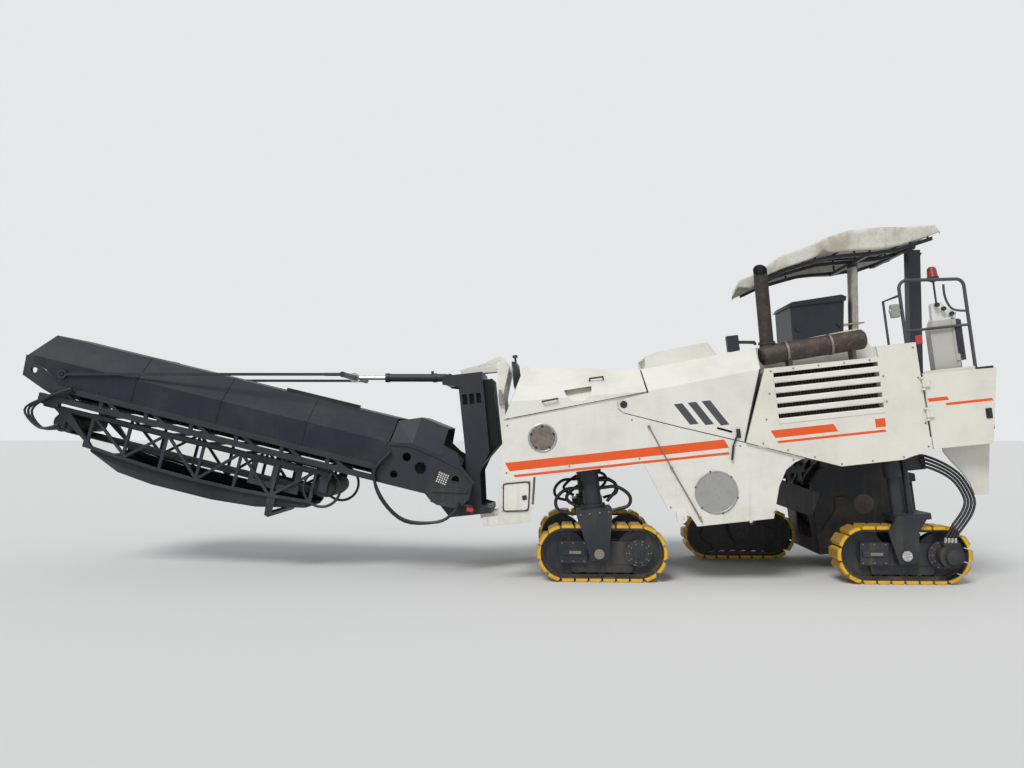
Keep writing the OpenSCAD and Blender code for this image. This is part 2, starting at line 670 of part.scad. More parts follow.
module drum_housing() {
  width = housing_y[1] - housing_y[0];
  chassis() color(slate) difference() {
    union() {
      slab(housing_y[0], width) housing_section(box_t);
      slab(housing_y[0], width) polygon(saddle);
      // Ribs over the arc and the wear skids along both sides
      for (y = [-760, -420]) slab(y, 25) intersection() {
        translate([drum_x, drum_z]) circle(cut_r + box_t + 45);
        polygon([[drum_x + 600, drum_z + 150], [drum_x + 600, drum_z + 585], [drum_x - 500, drum_z + 585],
          [drum_x - 500, drum_z + 150]]);
      }
      for (y = [housing_y[0] - 14, housing_y[1] - 1]) slab(y, 15) polygon([
        [drum_x + cut_r + 15, drum_z - skirt + 150], [drum_x + cut_r + 15, drum_z - skirt + 70],
          [drum_x + cut_r - 60, drum_z - skirt],
        [drum_x - cut_r + 60, drum_z - skirt], [drum_x - cut_r - 15, drum_z - skirt + 70],
          [drum_x - cut_r - 15, drum_z - skirt + 150]]);
      slab(housing_y[1] - 1, 26) polygon(stiffener);
      for (x = [drum_x - 250, drum_x + 150]) block([x, -inner_face, drum_z + 580],
        [x + 100, box_left, 820]);
      block([drum_x - 300, beam_y - 200, 650], [drum_x + 300, beam_y + beam_w, 780 - seat / 3]);
      block([drum_x - 300, -60, 650], [drum_x + 300, beam_y, drum_z + 589]);
      for (y = [-box_right + 15, box_left - 15]) slab(y - 15, 30) polygon([
        [scraper_x - 45, scraper_pin_z - 40], [scraper_x - 45, scraper_pin_z + 40],
          [drum_x - 380, scraper_pin_z + 120],
        [drum_x - 380, scraper_pin_z - 60]]);
      block([swing_x - 200, swing_y - 30, swing_low - 60], [swing_x + 45, swing_y + 60, swing_low - 1]);
    }
    slab(-box_right + box_t, drum_w + 40) housing_section(0);
    block([drum_x - cut_r - 100, -box_right + box_t, drum_z - 600], [drum_x, box_left, drum_z + 180]);
    block([drum_x, -750, drum_z - 350], [drum_x + cut_r + 200, -250, drum_z + 250]);
    bar_y(drum_x, -box_right - 20, drum_z, shaft_d + 2 * fit, 3000);
    bar_y(scraper_x - 10, -box_right - 20, scraper_pin_z, scraper_pin_d + 2 * fit, 3000);
    translate([swing_x, swing_y, swing_low - 80]) cylinder(d = swing_pin_d + 2 * fit, h = 100);
  }
}

// Two helices of picks in their holders throw the cuttings to the middle
module milling_drum() {
  tip = cut_d / 2;
  holder = 62;
  edge = 40;
  // The picks lean forward and end on the cutting circle
  pick_foot = tube_d / 2 - 8 + holder - 24;
  pick_reach = (sqrt(pow(tip, 2) - pow(pick_foot * sin(48) + 26 * cos(48),
    2)) - pick_foot * cos(48) + 26 * sin(48));
  chassis() translate([drum_x, drum_y0, drum_z]) rotate([-90, 0, 0]) color(zinc) union() {
    cylinder(d = tube_d, h = drum_w);
    translate([0, 0, -20 - box_t]) cylinder(d = shaft_d, h = drum_w + 40 + 2 * box_t);
    for (side = [0, 1]) for (i = [0 : pick_n - 1]) rotate([0, 0, side * 180 + i * 41])
      translate([tube_d / 2 - 8, 0, edge + (side == 0 ? i : 2 * pick_n - 1 - i) * (drum_w - 2 * edge) / (2
        * pick_n - 1)])
        {
          translate([0, -50, -24]) cube([holder, 80, 48]);
          translate([holder - 24, -26, 0]) rotate([0, side == 0 ? 84 : 96, 48]) {
            cylinder(d = 46, h = 66);
            translate([0, 0, 65]) cylinder(d1 = 38, d2 = 10, h = pick_reach - 65);
          }
        }
    // Ring of the cutting circle's side faces
    for (z = [2, drum_w - 20]) translate([0, 0, z]) cylinder(r = tip - 60, h = 18);
  }
}

scraper_x = drum_x - cut_r - 35;
scraper_pin_z = drum_z + 230;
module scraper_blade() {
  half_ends = [-box_right + 40, box_left - 40];
  chassis() color(slate) union() {
    block([scraper_x - 20, half_ends[0], drum_z - 480], [scraper_x, half_ends[1], scraper_pin_z]);
    block([scraper_x - 32, half_ends[0], drum_z - 480], [scraper_x - 19, half_ends[1], drum_z - 390]);
    for (y = [-980, -720, -460, -200]) slab(y, 14) polygon([[scraper_x - 19, drum_z - 380],
      [scraper_x - 50, drum_z - 340],
      [scraper_x - 50, scraper_pin_z - 80], [scraper_x - 19, scraper_pin_z - 30]]);
    bar_y(scraper_x - 10, half_ends[0], scraper_pin_z, 50, half_ends[1] - half_ends[0]);
    bar_y(scraper_x - 10, -box_right, scraper_pin_z, scraper_pin_d, box_right + box_left);
  }
}

// The trough that lifts the cuttings from the drum through the duct
trough_x = -2330;
trough_z = 60;
trough_slope = 26.3;
// The place on a cross beam of the frame that carries a rib
trough_rest = [-470 - trough_x, 960 + seat - trough_z];
module primary_conveyor() {
  len = 3420;
  rib_u = trough_rest[0] * cos(trough_slope) + trough_rest[1] * sin(trough_slope);
  rib_low = trough_rest[1] * cos(trough_slope) - trough_rest[0] * sin(trough_slope);
  chassis() color(slate) translate([trough_x, 0, trough_z]) rotate([0, -trough_slope, 0]) difference() {
    union() {
      block([0, -350, 0], [len, 250, 260]);
      for (k = [-2 : 1]) block([rib_u + 700 * k, -360, rib_low], [rib_u + 700 * k + 50, 260, 120]);
    }
    block([-1, -320, 30], [len + 1, 220, 261]);
  }
}

// Slewing bracket on the front and the mast that turns in it
slew_top_z = 1990;
slew_low_z = 400;
mast_y = 400;
bracket_y = [400, 520];
module slew_bracket() {
  x0 = hood_front + 1;
  chassis() color(white) difference() {
    union() {
      both(bracket_y[0], bracket_y[1] - bracket_y[0]) polygon([[x0, slew_low_z], [x0 + 55, slew_low_z],
        [x0 + 55, 520],
        [x0 + 16, 560], [x0 + 16, 1180], [x0 + 55, 1220], [x0 + 55, 1700], [x0 + 30, 2040], [x0 - 70, 2040],
        [x0 - 95, 1990], [x0 - 40, 1830], [x0, 1700]]);
      block([x0 - 75, -bracket_y[1], slew_top_z], [x0 + 45, bracket_y[1], slew_top_z + 50]);
      block([x0, -bracket_y[1], slew_low_z], [x0 + 55, bracket_y[1], slew_low_z + 60]);
      block([x0, -160, slew_low_z], [slew_x + 80, 160, slew_low_z + 60]);
      // Cranked arm plates over the mast
      both(75, 24) polygon([[slew_x + 144, 2046], [slew_x - 158, 2103], [slew_x - 250, 2145],
        [slew_x - 340, 2150],
        [slew_x - 410, 2050], [slew_x - 430, slew_top_z], [slew_x + 130, slew_top_z]]);
      block([slew_x - 300, -80, slew_top_z], [slew_x + 80, 80, slew_top_z + 50]);
      translate([slew_x, 0, slew_top_z]) cylinder(d = 150, h = 80);
    }
    translate([slew_x, 0, slew_low_z - 50]) cylinder(d = 80 + 2 * fit, h = 2000);
    bar_y(slew_x - 292, -120, 2090, 50, 240);
    slab(-120, 240) polygon([[slew_x - 200, 2058], [slew_x - 60, 2058], [slew_x - 80, 2068],
      [slew_x - 190, 2086]]);
  }
}

module slew_mast() {
  t = 30;
  beam_top = slew_top_z - 6;
  chassis() color(slate) union() {
    translate([slew_x, 0, slew_top_z - 80]) cylinder(d = 80, h = 130);
    translate([slew_x, 0, slew_low_z]) cylinder(d = 80, h = 120);
    difference() {
      union() {
        block([slew_x - 120, -mast_y, slew_top_z - 90], [slew_x + 320, mast_y, beam_top]);
        both(mast_y - t, t) polygon([[slew_x - 110, 1120], [slew_x - 120, slew_top_z - 90],
          [slew_x - 120, beam_top],
          [slew_x + 320, beam_top], [slew_x + 320, 1890], [slew_x + 150, 1850], [slew_x + 150, 1120],
          [slew_x + 170, 900], [slew_x + 170, lift_z + 56], [slew_x + 180, lift_z + 43],
            [lift_x + 60, lift_z + 43],
          [lift_x + 60, lift_z - 70], [lift_x - 40, slew_low_z + 66],
          [slew_x - 60, slew_low_z + 66], [slew_x - 60, slew_low_z + 120], [slew_x + 40, slew_low_z + 160],
            [slew_x + 20, 900]]);
      }
      block([cyl_x - 70, -52, slew_top_z - 100], [slew_x + 330, 52, slew_top_z]);
      for (x = [slew_x - 80, slew_x - 5, slew_x + 70]) block([x, -mast_y - 1, 1650],
        [x + 50, mast_y + 1, 1760]);
      bar_y(slew_x + 260, -mast_y - 1, lift_z - 60, 110, 2 * mast_y + 2);
    }
    block([slew_x - 60, -mast_y, slew_low_z + 66], [lift_x - 40, mast_y, slew_low_z + 120]);
    bar_y(lift_x, -inner_y - 5, lift_z, lift_pin_d, 2 * inner_y + 10);
    both(52, 28) polygon([[cyl_x - 60, slew_top_z - 20], [cyl_x - 45, cyl_z + 20],
      [cyl_x, cyl_z + 45], [cyl_x + 40, cyl_z + 20], [cyl_x + 45, slew_top_z - 80],
        [cyl_x - 60, slew_top_z - 80]]);
    bar_y(cyl_x, -80, cyl_z, 40, 160);
  }
}

// Rubber apron that guides the cuttings onto the inner belt
hood_half = 340;
module feed_hood() {
  chassis() color(black) loft([for (r = [[950, 24, 158, hood_half - 60], [1180, -216, 138, hood_half],
    [slew_top_z - 90 - seat, -220, 138, hood_half]])
      [for (p = [[r[1], -r[3]], [r[2], -r[3]], [r[2], r[3]], [r[1], r[3]]]) [slew_x + p[0], p[1], r[0]]]]);
}

// Lift cylinder, rod and the stays to the far end
cyl_x = 1400;
cyl_z = slew_top_z - 5;
lift_pin_d = 70;
// The stays' far pins, along the conveyor and over its line
stay_u = 4330;
stay_w = 311;
stay_pin_d = 40;
stay_play = 8;
stay_x = lift_x + stay_u * cos(incline) - stay_w * sin(incline);
stay_z = lift_z + stay_u * sin(incline) + stay_w * cos(incline);
stay_len = norm([stay_x - cyl_x, stay_z - cyl_z]);
clevis_at = 1090;
stay_y = inner_y + 25;
rod_d = 50;
module cylinder_frame() chassis() translate([cyl_x, 0, cyl_z])
  rotate([0, -atan2(stay_z - cyl_z, stay_x - cyl_x), 0]) children();

module lift_cylinder_tube() {
  cylinder_frame() color(zinc) difference() {
    union() {
      bar_y(0, -46, 0, 84, 92);
      translate([35, 0, 0]) rotate([0, 90, 0]) cylinder(d = 90, h = 700);
      for (u = [150, 690]) translate([u, 0, 0]) rotate([0, 90, 0]) cylinder(d = 104, h = 46);
      translate([190, -14, 40]) cube([28, 28, 36]);
    }
    translate([60, 0, 0]) rotate([0, 90, 0]) cylinder(d = rod_d + 2 * fit, h = 700);
    bar_y(0, -50, 0, 40 + 2 * fit, 100);
  }
}

module lift_cylinder_rod() {
  cylinder_frame() color(zinc) union() {
    translate([300, 0, 0]) rotate([0, 90, 0]) cylinder(d = rod_d, h = clevis_at - 300);
    bar_y(clevis_at, -40, 0, 110, 80);
  }
}

module conveyor() chassis() translate([lift_x, 0, lift_z]) rotate([0, -incline, 0]) children();

module conveyor_stays() {
  eye_d = stay_pin_d + 2 * stay_play + 40;
  cylinder_frame() color(slate) difference() {
    union() {
      for (s = [-1, 1]) {
        bar_y(clevis_at, s > 0 ? 40 : -stay_y - 12, 0, 60, stay_y - 28);
        // Turnbuckle, then the flat stay
        translate([clevis_at + 20, s * stay_y, 0]) rotate([0, 90, 0]) cylinder(d = 36, h = 170, $fn = 24);
        translate([0, s * stay_y, 0]) block([clevis_at, -9, -15], [stay_len - 30, 9, 15]);
        bar_y(stay_len, s * stay_y - 9, 0, eye_d, 18);
      }
    }
    bar_y(stay_len, -stay_y - 50, 0, stay_pin_d + 2 * stay_play, 2 * stay_y + 100);
  }
}

// Inner section: root plates with the receiving trough, and a lattice under the cover
fold_w = -20;
fold_pin_d = 50;
belt_ends = [-120, 4300];
belt_line = 160;
cover_low = 180;
cover_start = 690;
cover_end = 4680;
root_t = 20;
root_outline = [[760, 0], [760, cover_low - seat], [cover_start - seat, cover_low - seat],
  [cover_start - seat, 425], [470, 462], [170, 420], [-120, 350], [-275, 240],
  [-284, 60], [-225, -30], [-150, -75], [40, -85], [110, -60], [190, 0]];
head_arm = [[4343, 201], [4420, 60], [4553, 100], head_tip, [4829, 421], [4739, 421], [4640, 330],
  [4518, 267]];

module inner_conveyor_frame() {
  y = inner_y - chord / 2;
  first = 760;
  bay = (fold_u - 160 - first) / bay_n;
  conveyor() color(slate) difference() {
    union() {
      both(inner_y - chord, chord) {
        translate([first - 40, 0]) square([fold_u - 100 - first, chord]);
        translate([first - 40, cover_low - chord]) square([fold_u - 60 - first, chord]);
      }
      // Posts and braces of the lattice
      both(inner_y - 45, 30) for (i = [0 : bay_n]) {
        translate([first + i * bay, chord / 2]) square([40, cover_low - chord]);
        if (i < bay_n) strut([first + (i + 0.55) * bay, 30], [first + (i + 0.95) * bay, cover_low - 40],
          34);
      }
      both(inner_y - root_t, root_t) difference() {
        polygon(root_outline);
        for (p = [[300, 250, 62], [470, 330, 46], [-90, 220, 40], [560, 120, 40]]) translate([p[0],
          p[1]]) circle(p[2]);
      }
      // Tube along the rim of the root
      both(inner_y - root_t, 36) {
        strut([cover_start - 22, 429], root_outline[4], 34);
        for (i = [4 : 6]) strut(root_outline[i], root_outline[i + 1], 34);
        strut([110, 60], [-225, 130], 40);
      }
      for (s = [-1, 1]) translate([0, s * y, 0]) {
        block([-70, -chord / 2, -70], [110, chord / 2, 70]);
        block([100, -chord / 2, 0], [first, chord / 2, chord]);
        block([fold_u - 200, -chord / 2, -50], [fold_u + 40, chord / 2, chord]);
      }
      both(inner_y - chord - 36, 37) difference() {
        polygon(head_arm);
        translate([4700, 280]) circle(36);
      }
      // Bearings of the belt drums
      for (u = belt_ends) both(inner_y - chord, 40) translate([u - 60, u < 0 ? 0 : 50]) square([120,
        belt_line + 40]);
      for (i = [0 : bay_n - 1]) block([first + i * bay, -y, 0], [first + i * bay + 50, y, 36]);
      // Cross tube of the head and the fold pin
      bar_y(4775, -inner_y + 60, 330, 70, 2 * inner_y - 120);
      bar_y(fold_u, -inner_y, fold_w, fold_pin_d, 2 * inner_y);
    }
    bar_y(0, -inner_y - 10, 0, lift_pin_d + 2 * fit, 2 * inner_y + 20);
  }
}

// Plated hood over the receiving end; open at the back for the rubber apron
receive_y = mast_y + 45;
module receiving_hood() {
  rings = [for (r = [[-120, 356, 545, 340], [125, 426, 725, 310], [449, 474, 770, 310],
    [cover_start - 4, 436, 676, 336]])
    [r[0], inner_y - root_t - seat, r[1], r[3], r[2]]];
  conveyor() color(slate) difference() {
    loft([for (r = rings) [for (p = [[-r[1], r[2]], [r[1], r[2]], [r[3], r[4]], [-r[3], r[4]]]) [r[0],
      p[0], p[1]]]]);
    loft([for (r = rings) [for (p = [[-r[1] + 12, r[2] - 12], [r[1] - 12, r[2] - 12], [r[3] - 4, r[4] - 8],
      [-r[3] + 4, r[4] - 8]]) [r[0] + (r[0] < 0 ? -1 : r[0] > 600 ? 1 : 0), p[0], p[1]]]]);
    block([-300, -receive_y, 200], [132, receive_y, 900]);
  }
}

cover_section = [[-inner_y, cover_low], [-inner_y, 440], [-340, 700], [340, 700], [inner_y, 440],
  [inner_y, cover_low]];
cover_hollow = [[-inner_y + cover_t, 170], [-inner_y + cover_t, 436], [-336, 700 - cover_t],
  [336, 700 - cover_t], [inner_y - cover_t, 436], [inner_y - cover_t, 170]];

module inner_conveyor_cover() {
  conveyor() color(slate) difference() {
    union() {
      translate([cover_start, 0, 0]) rotate([90, 0, 90]) difference() {
        linear_extrude(cover_end + 90 - cover_start) polygon(cover_section);
        translate([0, 0, -1]) linear_extrude(cover_end + 92 - cover_start) polygon(cover_hollow);
      }
      // Seams over the joints of the plates, and the hose shelf on top
      for (u = [1600, 2560, 3520]) translate([u, 0, 0]) rotate([90, 0, 90]) difference() {
        linear_extrude(40) polygon([for (p = cover_section) [p[0] * 1.008, p[1] < 300 ? p[1] : p[1] + 5]]);
        translate([0, 0, -1]) linear_extrude(42) polygon(cover_section);
      }
      block([1150, 230, 699], [1970, 330, 738]);
      both(inner_y - 1, stay_y - inner_y + 13) translate([stay_u, stay_w]) circle(d = stay_pin_d);
    }
    // Slanted far end over the head arms
    slab(-inner_y - 20, 2 * inner_y + 40) polygon([[4628, 720], [4763, 426], [4700, 426], [4440, 255],
      [4306, 170], [5000, 100], [5000, 800]]);
  }
}

module belt_loop(a, b, z) {
  outer_r = belt_r + belt_t;
  slab(-belt_w / 2, belt_w) difference() {
    union() {
      for (x = [a, b]) translate([x, z]) circle(outer_r);
      translate([a, z - outer_r]) square([b - a, 2 * outer_r]);
    }
    for (x = [a, b]) translate([x, z]) circle(belt_r - 1);
    translate([a, z - belt_r + 1]) square([b - a, 2 * belt_r - 2]);
  }
}

// A belt with its two drums and their shafts
module belt(ends, line, drum_half, shaft_half) {
  belt_loop(ends[0], ends[1], line);
  for (u = ends) {
    bar_y(u, -drum_half, line, 2 * belt_r, 2 * drum_half);
    bar_y(u, -shaft_half, line, 60, 2 * shaft_half);
  }
}

module inner_belt() {
  conveyor() color(black) union() belt(belt_ends, belt_line, mast_y - 50, inner_y - chord);
}

// The outer section, folded under the inner one about the fold pin
module outer() conveyor() translate([fold_u, 0, fold_w]) rotate([0, 180, 0]) children();

outer_ends = [200, outer_len - 60];
outer_line = 200;
outer_wall = 40;
rim_start = 560;
rim_end = outer_len - 160;
// Bowed rim of the belly: along the section, and its depth
function rim_w(u) = 392 + 68 * sin(180 * (u - rim_start) / (rim_end - rim_start));

module outer_conveyor_frame() {
  y = outer_y - outer_wall;
  bay = (rim_end - rim_start) / 6;
  at = [for (i = [0 : 6]) rim_start + i * bay];
  outer() color(slate) union() {
    difference() {
      union() {
        both(y, outer_wall) {
          translate([60, 20]) square([outer_len - 60, 44]);
          circle(d = 110);
          translate([-20, 0]) square([120, 64]);
          for (i = [0 : 5]) strut([at[i], rim_w(at[i]) - 16], [at[i + 1], rim_w(at[i + 1]) - 16], 32);
          polygon([[60, 30], [rim_start - 40, rim_w(rim_start) - 70], [rim_start - 40, rim_w(rim_start)],
            [rim_start + 90, rim_w(rim_start)], [260, 30]]);
        }
        both(y + 8, 24) for (i = [0 : 6]) {
          translate([at[i] - 16, 40]) square([32, rim_w(at[i]) - 60]);
          if (i < 6) strut([at[i] + (i % 2 == 0 ? 20 : bay - 20), 60],
            [at[i] + (i % 2 == 0 ? bay - 20 : 20), rim_w(at[i]) - 40], 30);
        }
        // Box frames with a window at the discharge end
        both(y - 30, 31) difference() {
          translate([2380, 40]) square([560, 300]);
          for (u = [2440, 2700]) translate([u, 100]) square([180, 180]);
        }
        for (u = outer_ends) both(y - 20, 21) translate([u - 50, 50]) square([100, outer_line]);
        for (i = [0 : 6]) block([at[i] - 16, -y - 1, 30], [at[i] + 16, y + 1, 58]);
        // Support roller's bracket under the belly
        both(y - 3.5, 30) polygon([[2640, 400], [2740, 400], [2720, 630], [2660, 630]]);
      }
      bar_y(0, -outer_y - 10, 0, fold_pin_d + 2 * fit, 2 * outer_y + 20);
    }
    bar_y(2690, -y, 615, 60, 2 * y);
    // Guard rings round the discharge drum
    for (s = [-1, 1]) translate([outer_len - 60, s * (outer_y - 20), outer_line]) rotate([90, 0, 0])
      rotate_extrude() translate([200, 0]) circle(d = 30, $fn = 16);
  }
}

// Smooth belly under the return run, a bowed sheet
module outer_conveyor_cover() {
  rows = [[rim_start + 40, 392, 470], [900, 420, 592], [1300, 445, 632], [2000, 450, 632],
    [2500, 428, 590], [rim_end - 60, 396, 470]];
  outer() color(slate) difference() {
    loft([for (r = rows) belly_ring(r, 0)]);
    loft([for (i = [0 : len(rows) - 1]) belly_ring(rows[i] + [i == 0 ? -2 : i == len(rows) - 1 ? 2 : 0, 0,
      0], cover_t)]);
  }
}
function belly_ring(r, t) = [for (p = [[1, 0], [1, 0.45], [0.72, 1], [-0.72, 1], [-1, 0.45], [-1, 0]])
  [r[0], p[0] * (outer_y - outer_wall - 4 - t),
    r[1] + seat - (p[1] == 0 ? t : 0) + p[1] * (r[2] - r[1]) - (p[1] == 1 ? t : 0)]];

module outer_belt() {
  outer() color(black) union() belt(outer_ends, outer_line, outer_y - outer_wall - 25,
    outer_y - outer_wall - 20);
}

// Hoses from the mast to the root, and round the fold
module conveyor_hoses() {
  root_hose_d = hose_d + 4;
  conveyor() color(black) union() {
    for (k = [0, 1]) translate([0, inner_y + (k + 0.5) * root_hose_d + (k + 1) * seat, 0])
      tube(smooth([[640, 0, 320 + 30 * k], [760, 0, 100], [640 - 30 * k, 0, -150], [330, 0, -330 + 20 * k],
        [-20, 0, -250], [-160, 0, -110], [-190, 0, -10]], 5),
        root_hose_d, [0, 1, 0]);
    for (k = [0 : 2]) translate([0, inner_y + (k + 0.5) * hose_d + (k + 1) * seat, 0])
      tube(smooth([[4160, 0, 150 + 20 * k], [4420, 0, 30], [4560 + 24 * k, 0, -150], [4400, 0, -300],
        [4200, 0, -260 + 20 * k]], 5),
        hose_d, [0, 1, 0]);
  }
}

// One track: a chain band with its shoes in the outline
function loop_len() = 4 * axle_dx + 2 * PI * chain_r;
module on_loop(s) {
  // s runs along the chain line from the middle of the lower run, towards the front
  half = axle_dx;
  arc = PI * chain_r;
  t = s < 0 ? s + loop_len() : s;
  if (t < half) translate([t, -chain_r]) children();
  else if (t < half + arc) translate([half, 0]) rotate((t - half) / chain_r * 180 / PI) translate([0,
    -chain_r]) children();
  else if (t < 3 * half + arc) translate([half - (t - half - arc), chain_r]) rotate(180) children();
  else if (t < 3 * half + 2 * arc) translate([-half,
    0]) rotate(180 + (t - 3 * half - arc) / chain_r * 180 / PI) translate([0, -chain_r]) children();
  else translate([-half + (t - 3 * half - 2 * arc), -chain_r]) children();
}

module stadium(r) union() {
  for (s = [-1, 1]) translate([s * axle_dx, 0]) circle(r);
  translate([-axle_dx, -r]) square([2 * axle_dx, 2 * r]);
}

module track() {
  p = loop_len() / shoe_n;
  edge = p / 2 - 9;
  union() {
    slab(-chain_w / 2, chain_w) difference() {
      stadium(chain_r + 4);
      stadium(inner_r);
    }
    slab(-shoe_w / 2, shoe_w) for (i = [0 : shoe_n - 1]) on_loop((i + 0.5) * p)
      polygon([[-edge, -10], [-edge + 4, -shoe_h + 12], [-edge + 16, -shoe_h], [edge - 16, -shoe_h],
        [edge - 4, -shoe_h + 12], [edge, -10], [edge + 5, -4], [edge + 5, 6], [-edge, 6]]);
  }
}

// What carries a track: idler, drive wheel, rollers and the beam between them
beam_half = 64;
// Top of the drive motor's hose fittings over its axle
fitting_z = 130;
fit_gap = 0.3;
module track_frame(drive_out) {
  r = inner_r - fit_gap;
  roller_z = -r + roller_d / 2;
  union() {
    for (s = [-1, 1]) {
      bar_y(s * axle_dx, -chain_w / 2 + 10, 0, 2 * r, chain_w - 20);
      bar_y(s * axle_dx, -beam_half - 10, 0, 150, 2 * beam_half + 20);
    }
    both(beam_half, 20) polygon([[-axle_dx - 60, -60], [-axle_dx + 20, -115], [axle_dx - 20, -115],
      [axle_dx + 60, -60],
      [axle_dx + 60, 60], [axle_dx - 10, 112], [-axle_dx + 90, 112], [-axle_dx + 10, 70],
        [-axle_dx - 60, 60]]);
    block([-axle_dx + 120, -beam_half - 1, -70], [axle_dx - 120, beam_half + 1, 100]);
    // Lower rollers between their side plates
    for (i = [-2 : 2]) {
      bar_y(i * 125, -chain_w / 2 + 8, roller_z, roller_d, chain_w - 16);
      bar_y(i * 125, -beam_half - 8, roller_z, 44, 2 * beam_half + 16);
    }
    both(beam_half, 14) polygon([[-330, -90], [-300, roller_z - 30], [300, roller_z - 30], [330, -90]]);
    bar_y(0, -shoe_w / 2, 0, 190, shoe_w);
    // Tensioner box at the front, with its ridge
    block([150, beam_half + 19, -100], [axle_dx + 60, 118, 120]);
    block([170, 117, -20], [axle_dx + 40, 128, 36]);
    // Final drive: ring, disc and hub on the outer side
    bar_y(-axle_dx, beam_half + 19, 0, 270, 28);
    bar_y(-axle_dx, beam_half + 46, 0, 220, 12);
    bar_y(-axle_dx, beam_half + 57, 0, 110, 9);
    if (drive_out) {
      bar_y(-axle_dx - 55, beam_half + 60, 0, 235, 90);
      bar_y(-axle_dx - 55, beam_half + 149, 0, 150, 50);
      block([-500, beam_half + 76, 100], [-345, beam_half + 150, fitting_z]);
    }
  }
}

front_cheek = [[-175, 385], [175, 385], [97, -20], [78, -62], [-78, -62], [-97, -20]];
rear_cheek = [[-113, -80], [80, -77], [143, 240], [50, 385], [-285, 392], [-146, 215]];
front_crown = [[-175, 365], [175, 445]];
rear_crown = [[-285, 330], [50, 392]];
cheek_in = shoe_w / 2 + cheek_gap;
cheek_out = cheek_in + cheek_t;
cap_t = 10;
// Plate on the rear fork that clamps the hoses, outwards of the leg's centre line
clamp_y = [20, 35];

// Fork over a track: two cheeks, the pin with its caps, the crown and the column
module fork_body(x, y, cheek, crown, col_d, col_x, top) {
  pz = pin_level(x);
  translate([x, y, pz]) {
    both(cheek_in, cheek_t) polygon(cheek);
    bar_y(0, -cheek_out, 0, pin_d, 2 * cheek_out);
    for (s = [-1, 1]) bar_y(0, s > 0 ? cheek_out - 1 : -cheek_out - cap_t, 0, 116, cap_t + 1);
    block([crown[0][0], -cheek_out, crown[0][1]], [crown[1][0], cheek_out, crown[1][1]]);
  }
  translate([col_x, y, pz + crown[1][1] - 1]) cylinder(d = col_d, h = top - pz - crown[1][1] + 1);
}

module fork_front(s) {
  chassis() color(slate) union() {
    fork_body(0, s * leg_y, front_cheek, front_crown, column_d, 0, 1220);
    translate([0, s * leg_y, 444]) cylinder(d = column_d + 70, h = 40);
  }
}
module fork_front_left() fork_front(1);
module fork_front_right() fork_front(-1);
module fork_rear_left() {
  guide_x = rear_column_x - 125;
  base = pin_level(-rear_x) + rear_crown[1][1];
  chassis() color(slate) union() {
    fork_body(-rear_x, leg_y, rear_cheek, rear_crown, rear_column_d, rear_column_x, 1020);
    translate([guide_x, leg_y, base - 1]) cylinder(d = 60, h = 560);
    block([-3345, leg_y + clamp_y[0], 485], [guide_x, leg_y + clamp_y[1], 630]);
  }
}

swing_leg_x = -1750;
swing_leg_y = swing_y + swing_offset;
module swing_leg() {
  chassis() color(slate) difference() {
    union() {
      fork_body(swing_leg_x, swing_leg_y, front_cheek, front_crown, swing_column_d, swing_leg_x, 780);
      translate([0, 0, swing_low + 40]) linear_extrude(200) polygon([
        [swing_x - 20, swing_y - 40], [swing_x + 60, swing_y - 40], [swing_x + 150, swing_y + 60],
        [swing_leg_x, swing_leg_y - 75], [swing_leg_x, swing_leg_y + 75], [swing_x + 100, swing_y + 200],
          [swing_x - 20, swing_y + 50]
      ]);
      translate([swing_x, swing_y, swing_low]) cylinder(d = 110, h = swing_top - swing_low);
    }
    translate([swing_x, swing_y, swing_low - 1]) cylinder(d = swing_pin_d + 2 * fit, h = 320);
  }
}

module placed_frame(x, y, s, shift, drive_out) level_at(x, y) color(slate) mirror([0, s > 0 ? 0 : 1,
  0]) difference() {
  translate([-shift, 0, 0]) track_frame(drive_out);
  bar_y(0, -200, 0, pin_d + 2 * fit, 400);
}
module placed_track(x, y, shift) level_at(x, y) color(yellow) translate([-shift, 0, 0]) track();
module track_frame_front_left() placed_frame(0, leg_y, 1, track_shift, false);
module track_front_left() placed_track(0, leg_y, track_shift);
module track_frame_front_right() placed_frame(0, -leg_y, -1, track_shift, false);
module track_front_right() placed_track(0, -leg_y, track_shift);
module track_frame_rear_left() placed_frame(-rear_x, leg_y, 1, 0, true);
module track_rear_left() placed_track(-rear_x, leg_y, 0);
module track_frame_rear_right() placed_frame(swing_leg_x, swing_leg_y, -1, 0, false);
module track_rear_right() placed_track(swing_leg_x, swing_leg_y, 0);

// Hose bundle from the body down to the rear left drive
module rear_leg_hoses() {
  // From the clamp on the fork round to the motor, in the track's level frame
  loop = [[-190, 974], [-257, 974], [-445, 891], [-591, 767], [-679, 561], [-648, 424], [-563, 300],
    [-500, 225]];
  at_clamp = clamp_y[1] + hose_d / 2 + seat;
  out = [at_clamp + 2, at_clamp + 2, 70, 100, 140, 160, 172, 177];
  mid = [-330, 560];
  level_at(-rear_x, leg_y) color(black) union() for (k = [0 : 3]) {
    grow = 1 - 0.09 * (3 - k);
    foot = [-374 - 32 * k, out[7]];
    tube(concat(
      smooth([for (i = [0 : 7]) [mid[0] + (loop[i][0] - mid[0]) * grow, out[i],
        mid[1] + (loop[i][1] - mid[1]) * grow]], 3),
      [[foot[0], foot[1], fitting_z + 35], [foot[0], foot[1], fitting_z + seat]]), hose_d, [0, 1, 0]);
  }
}

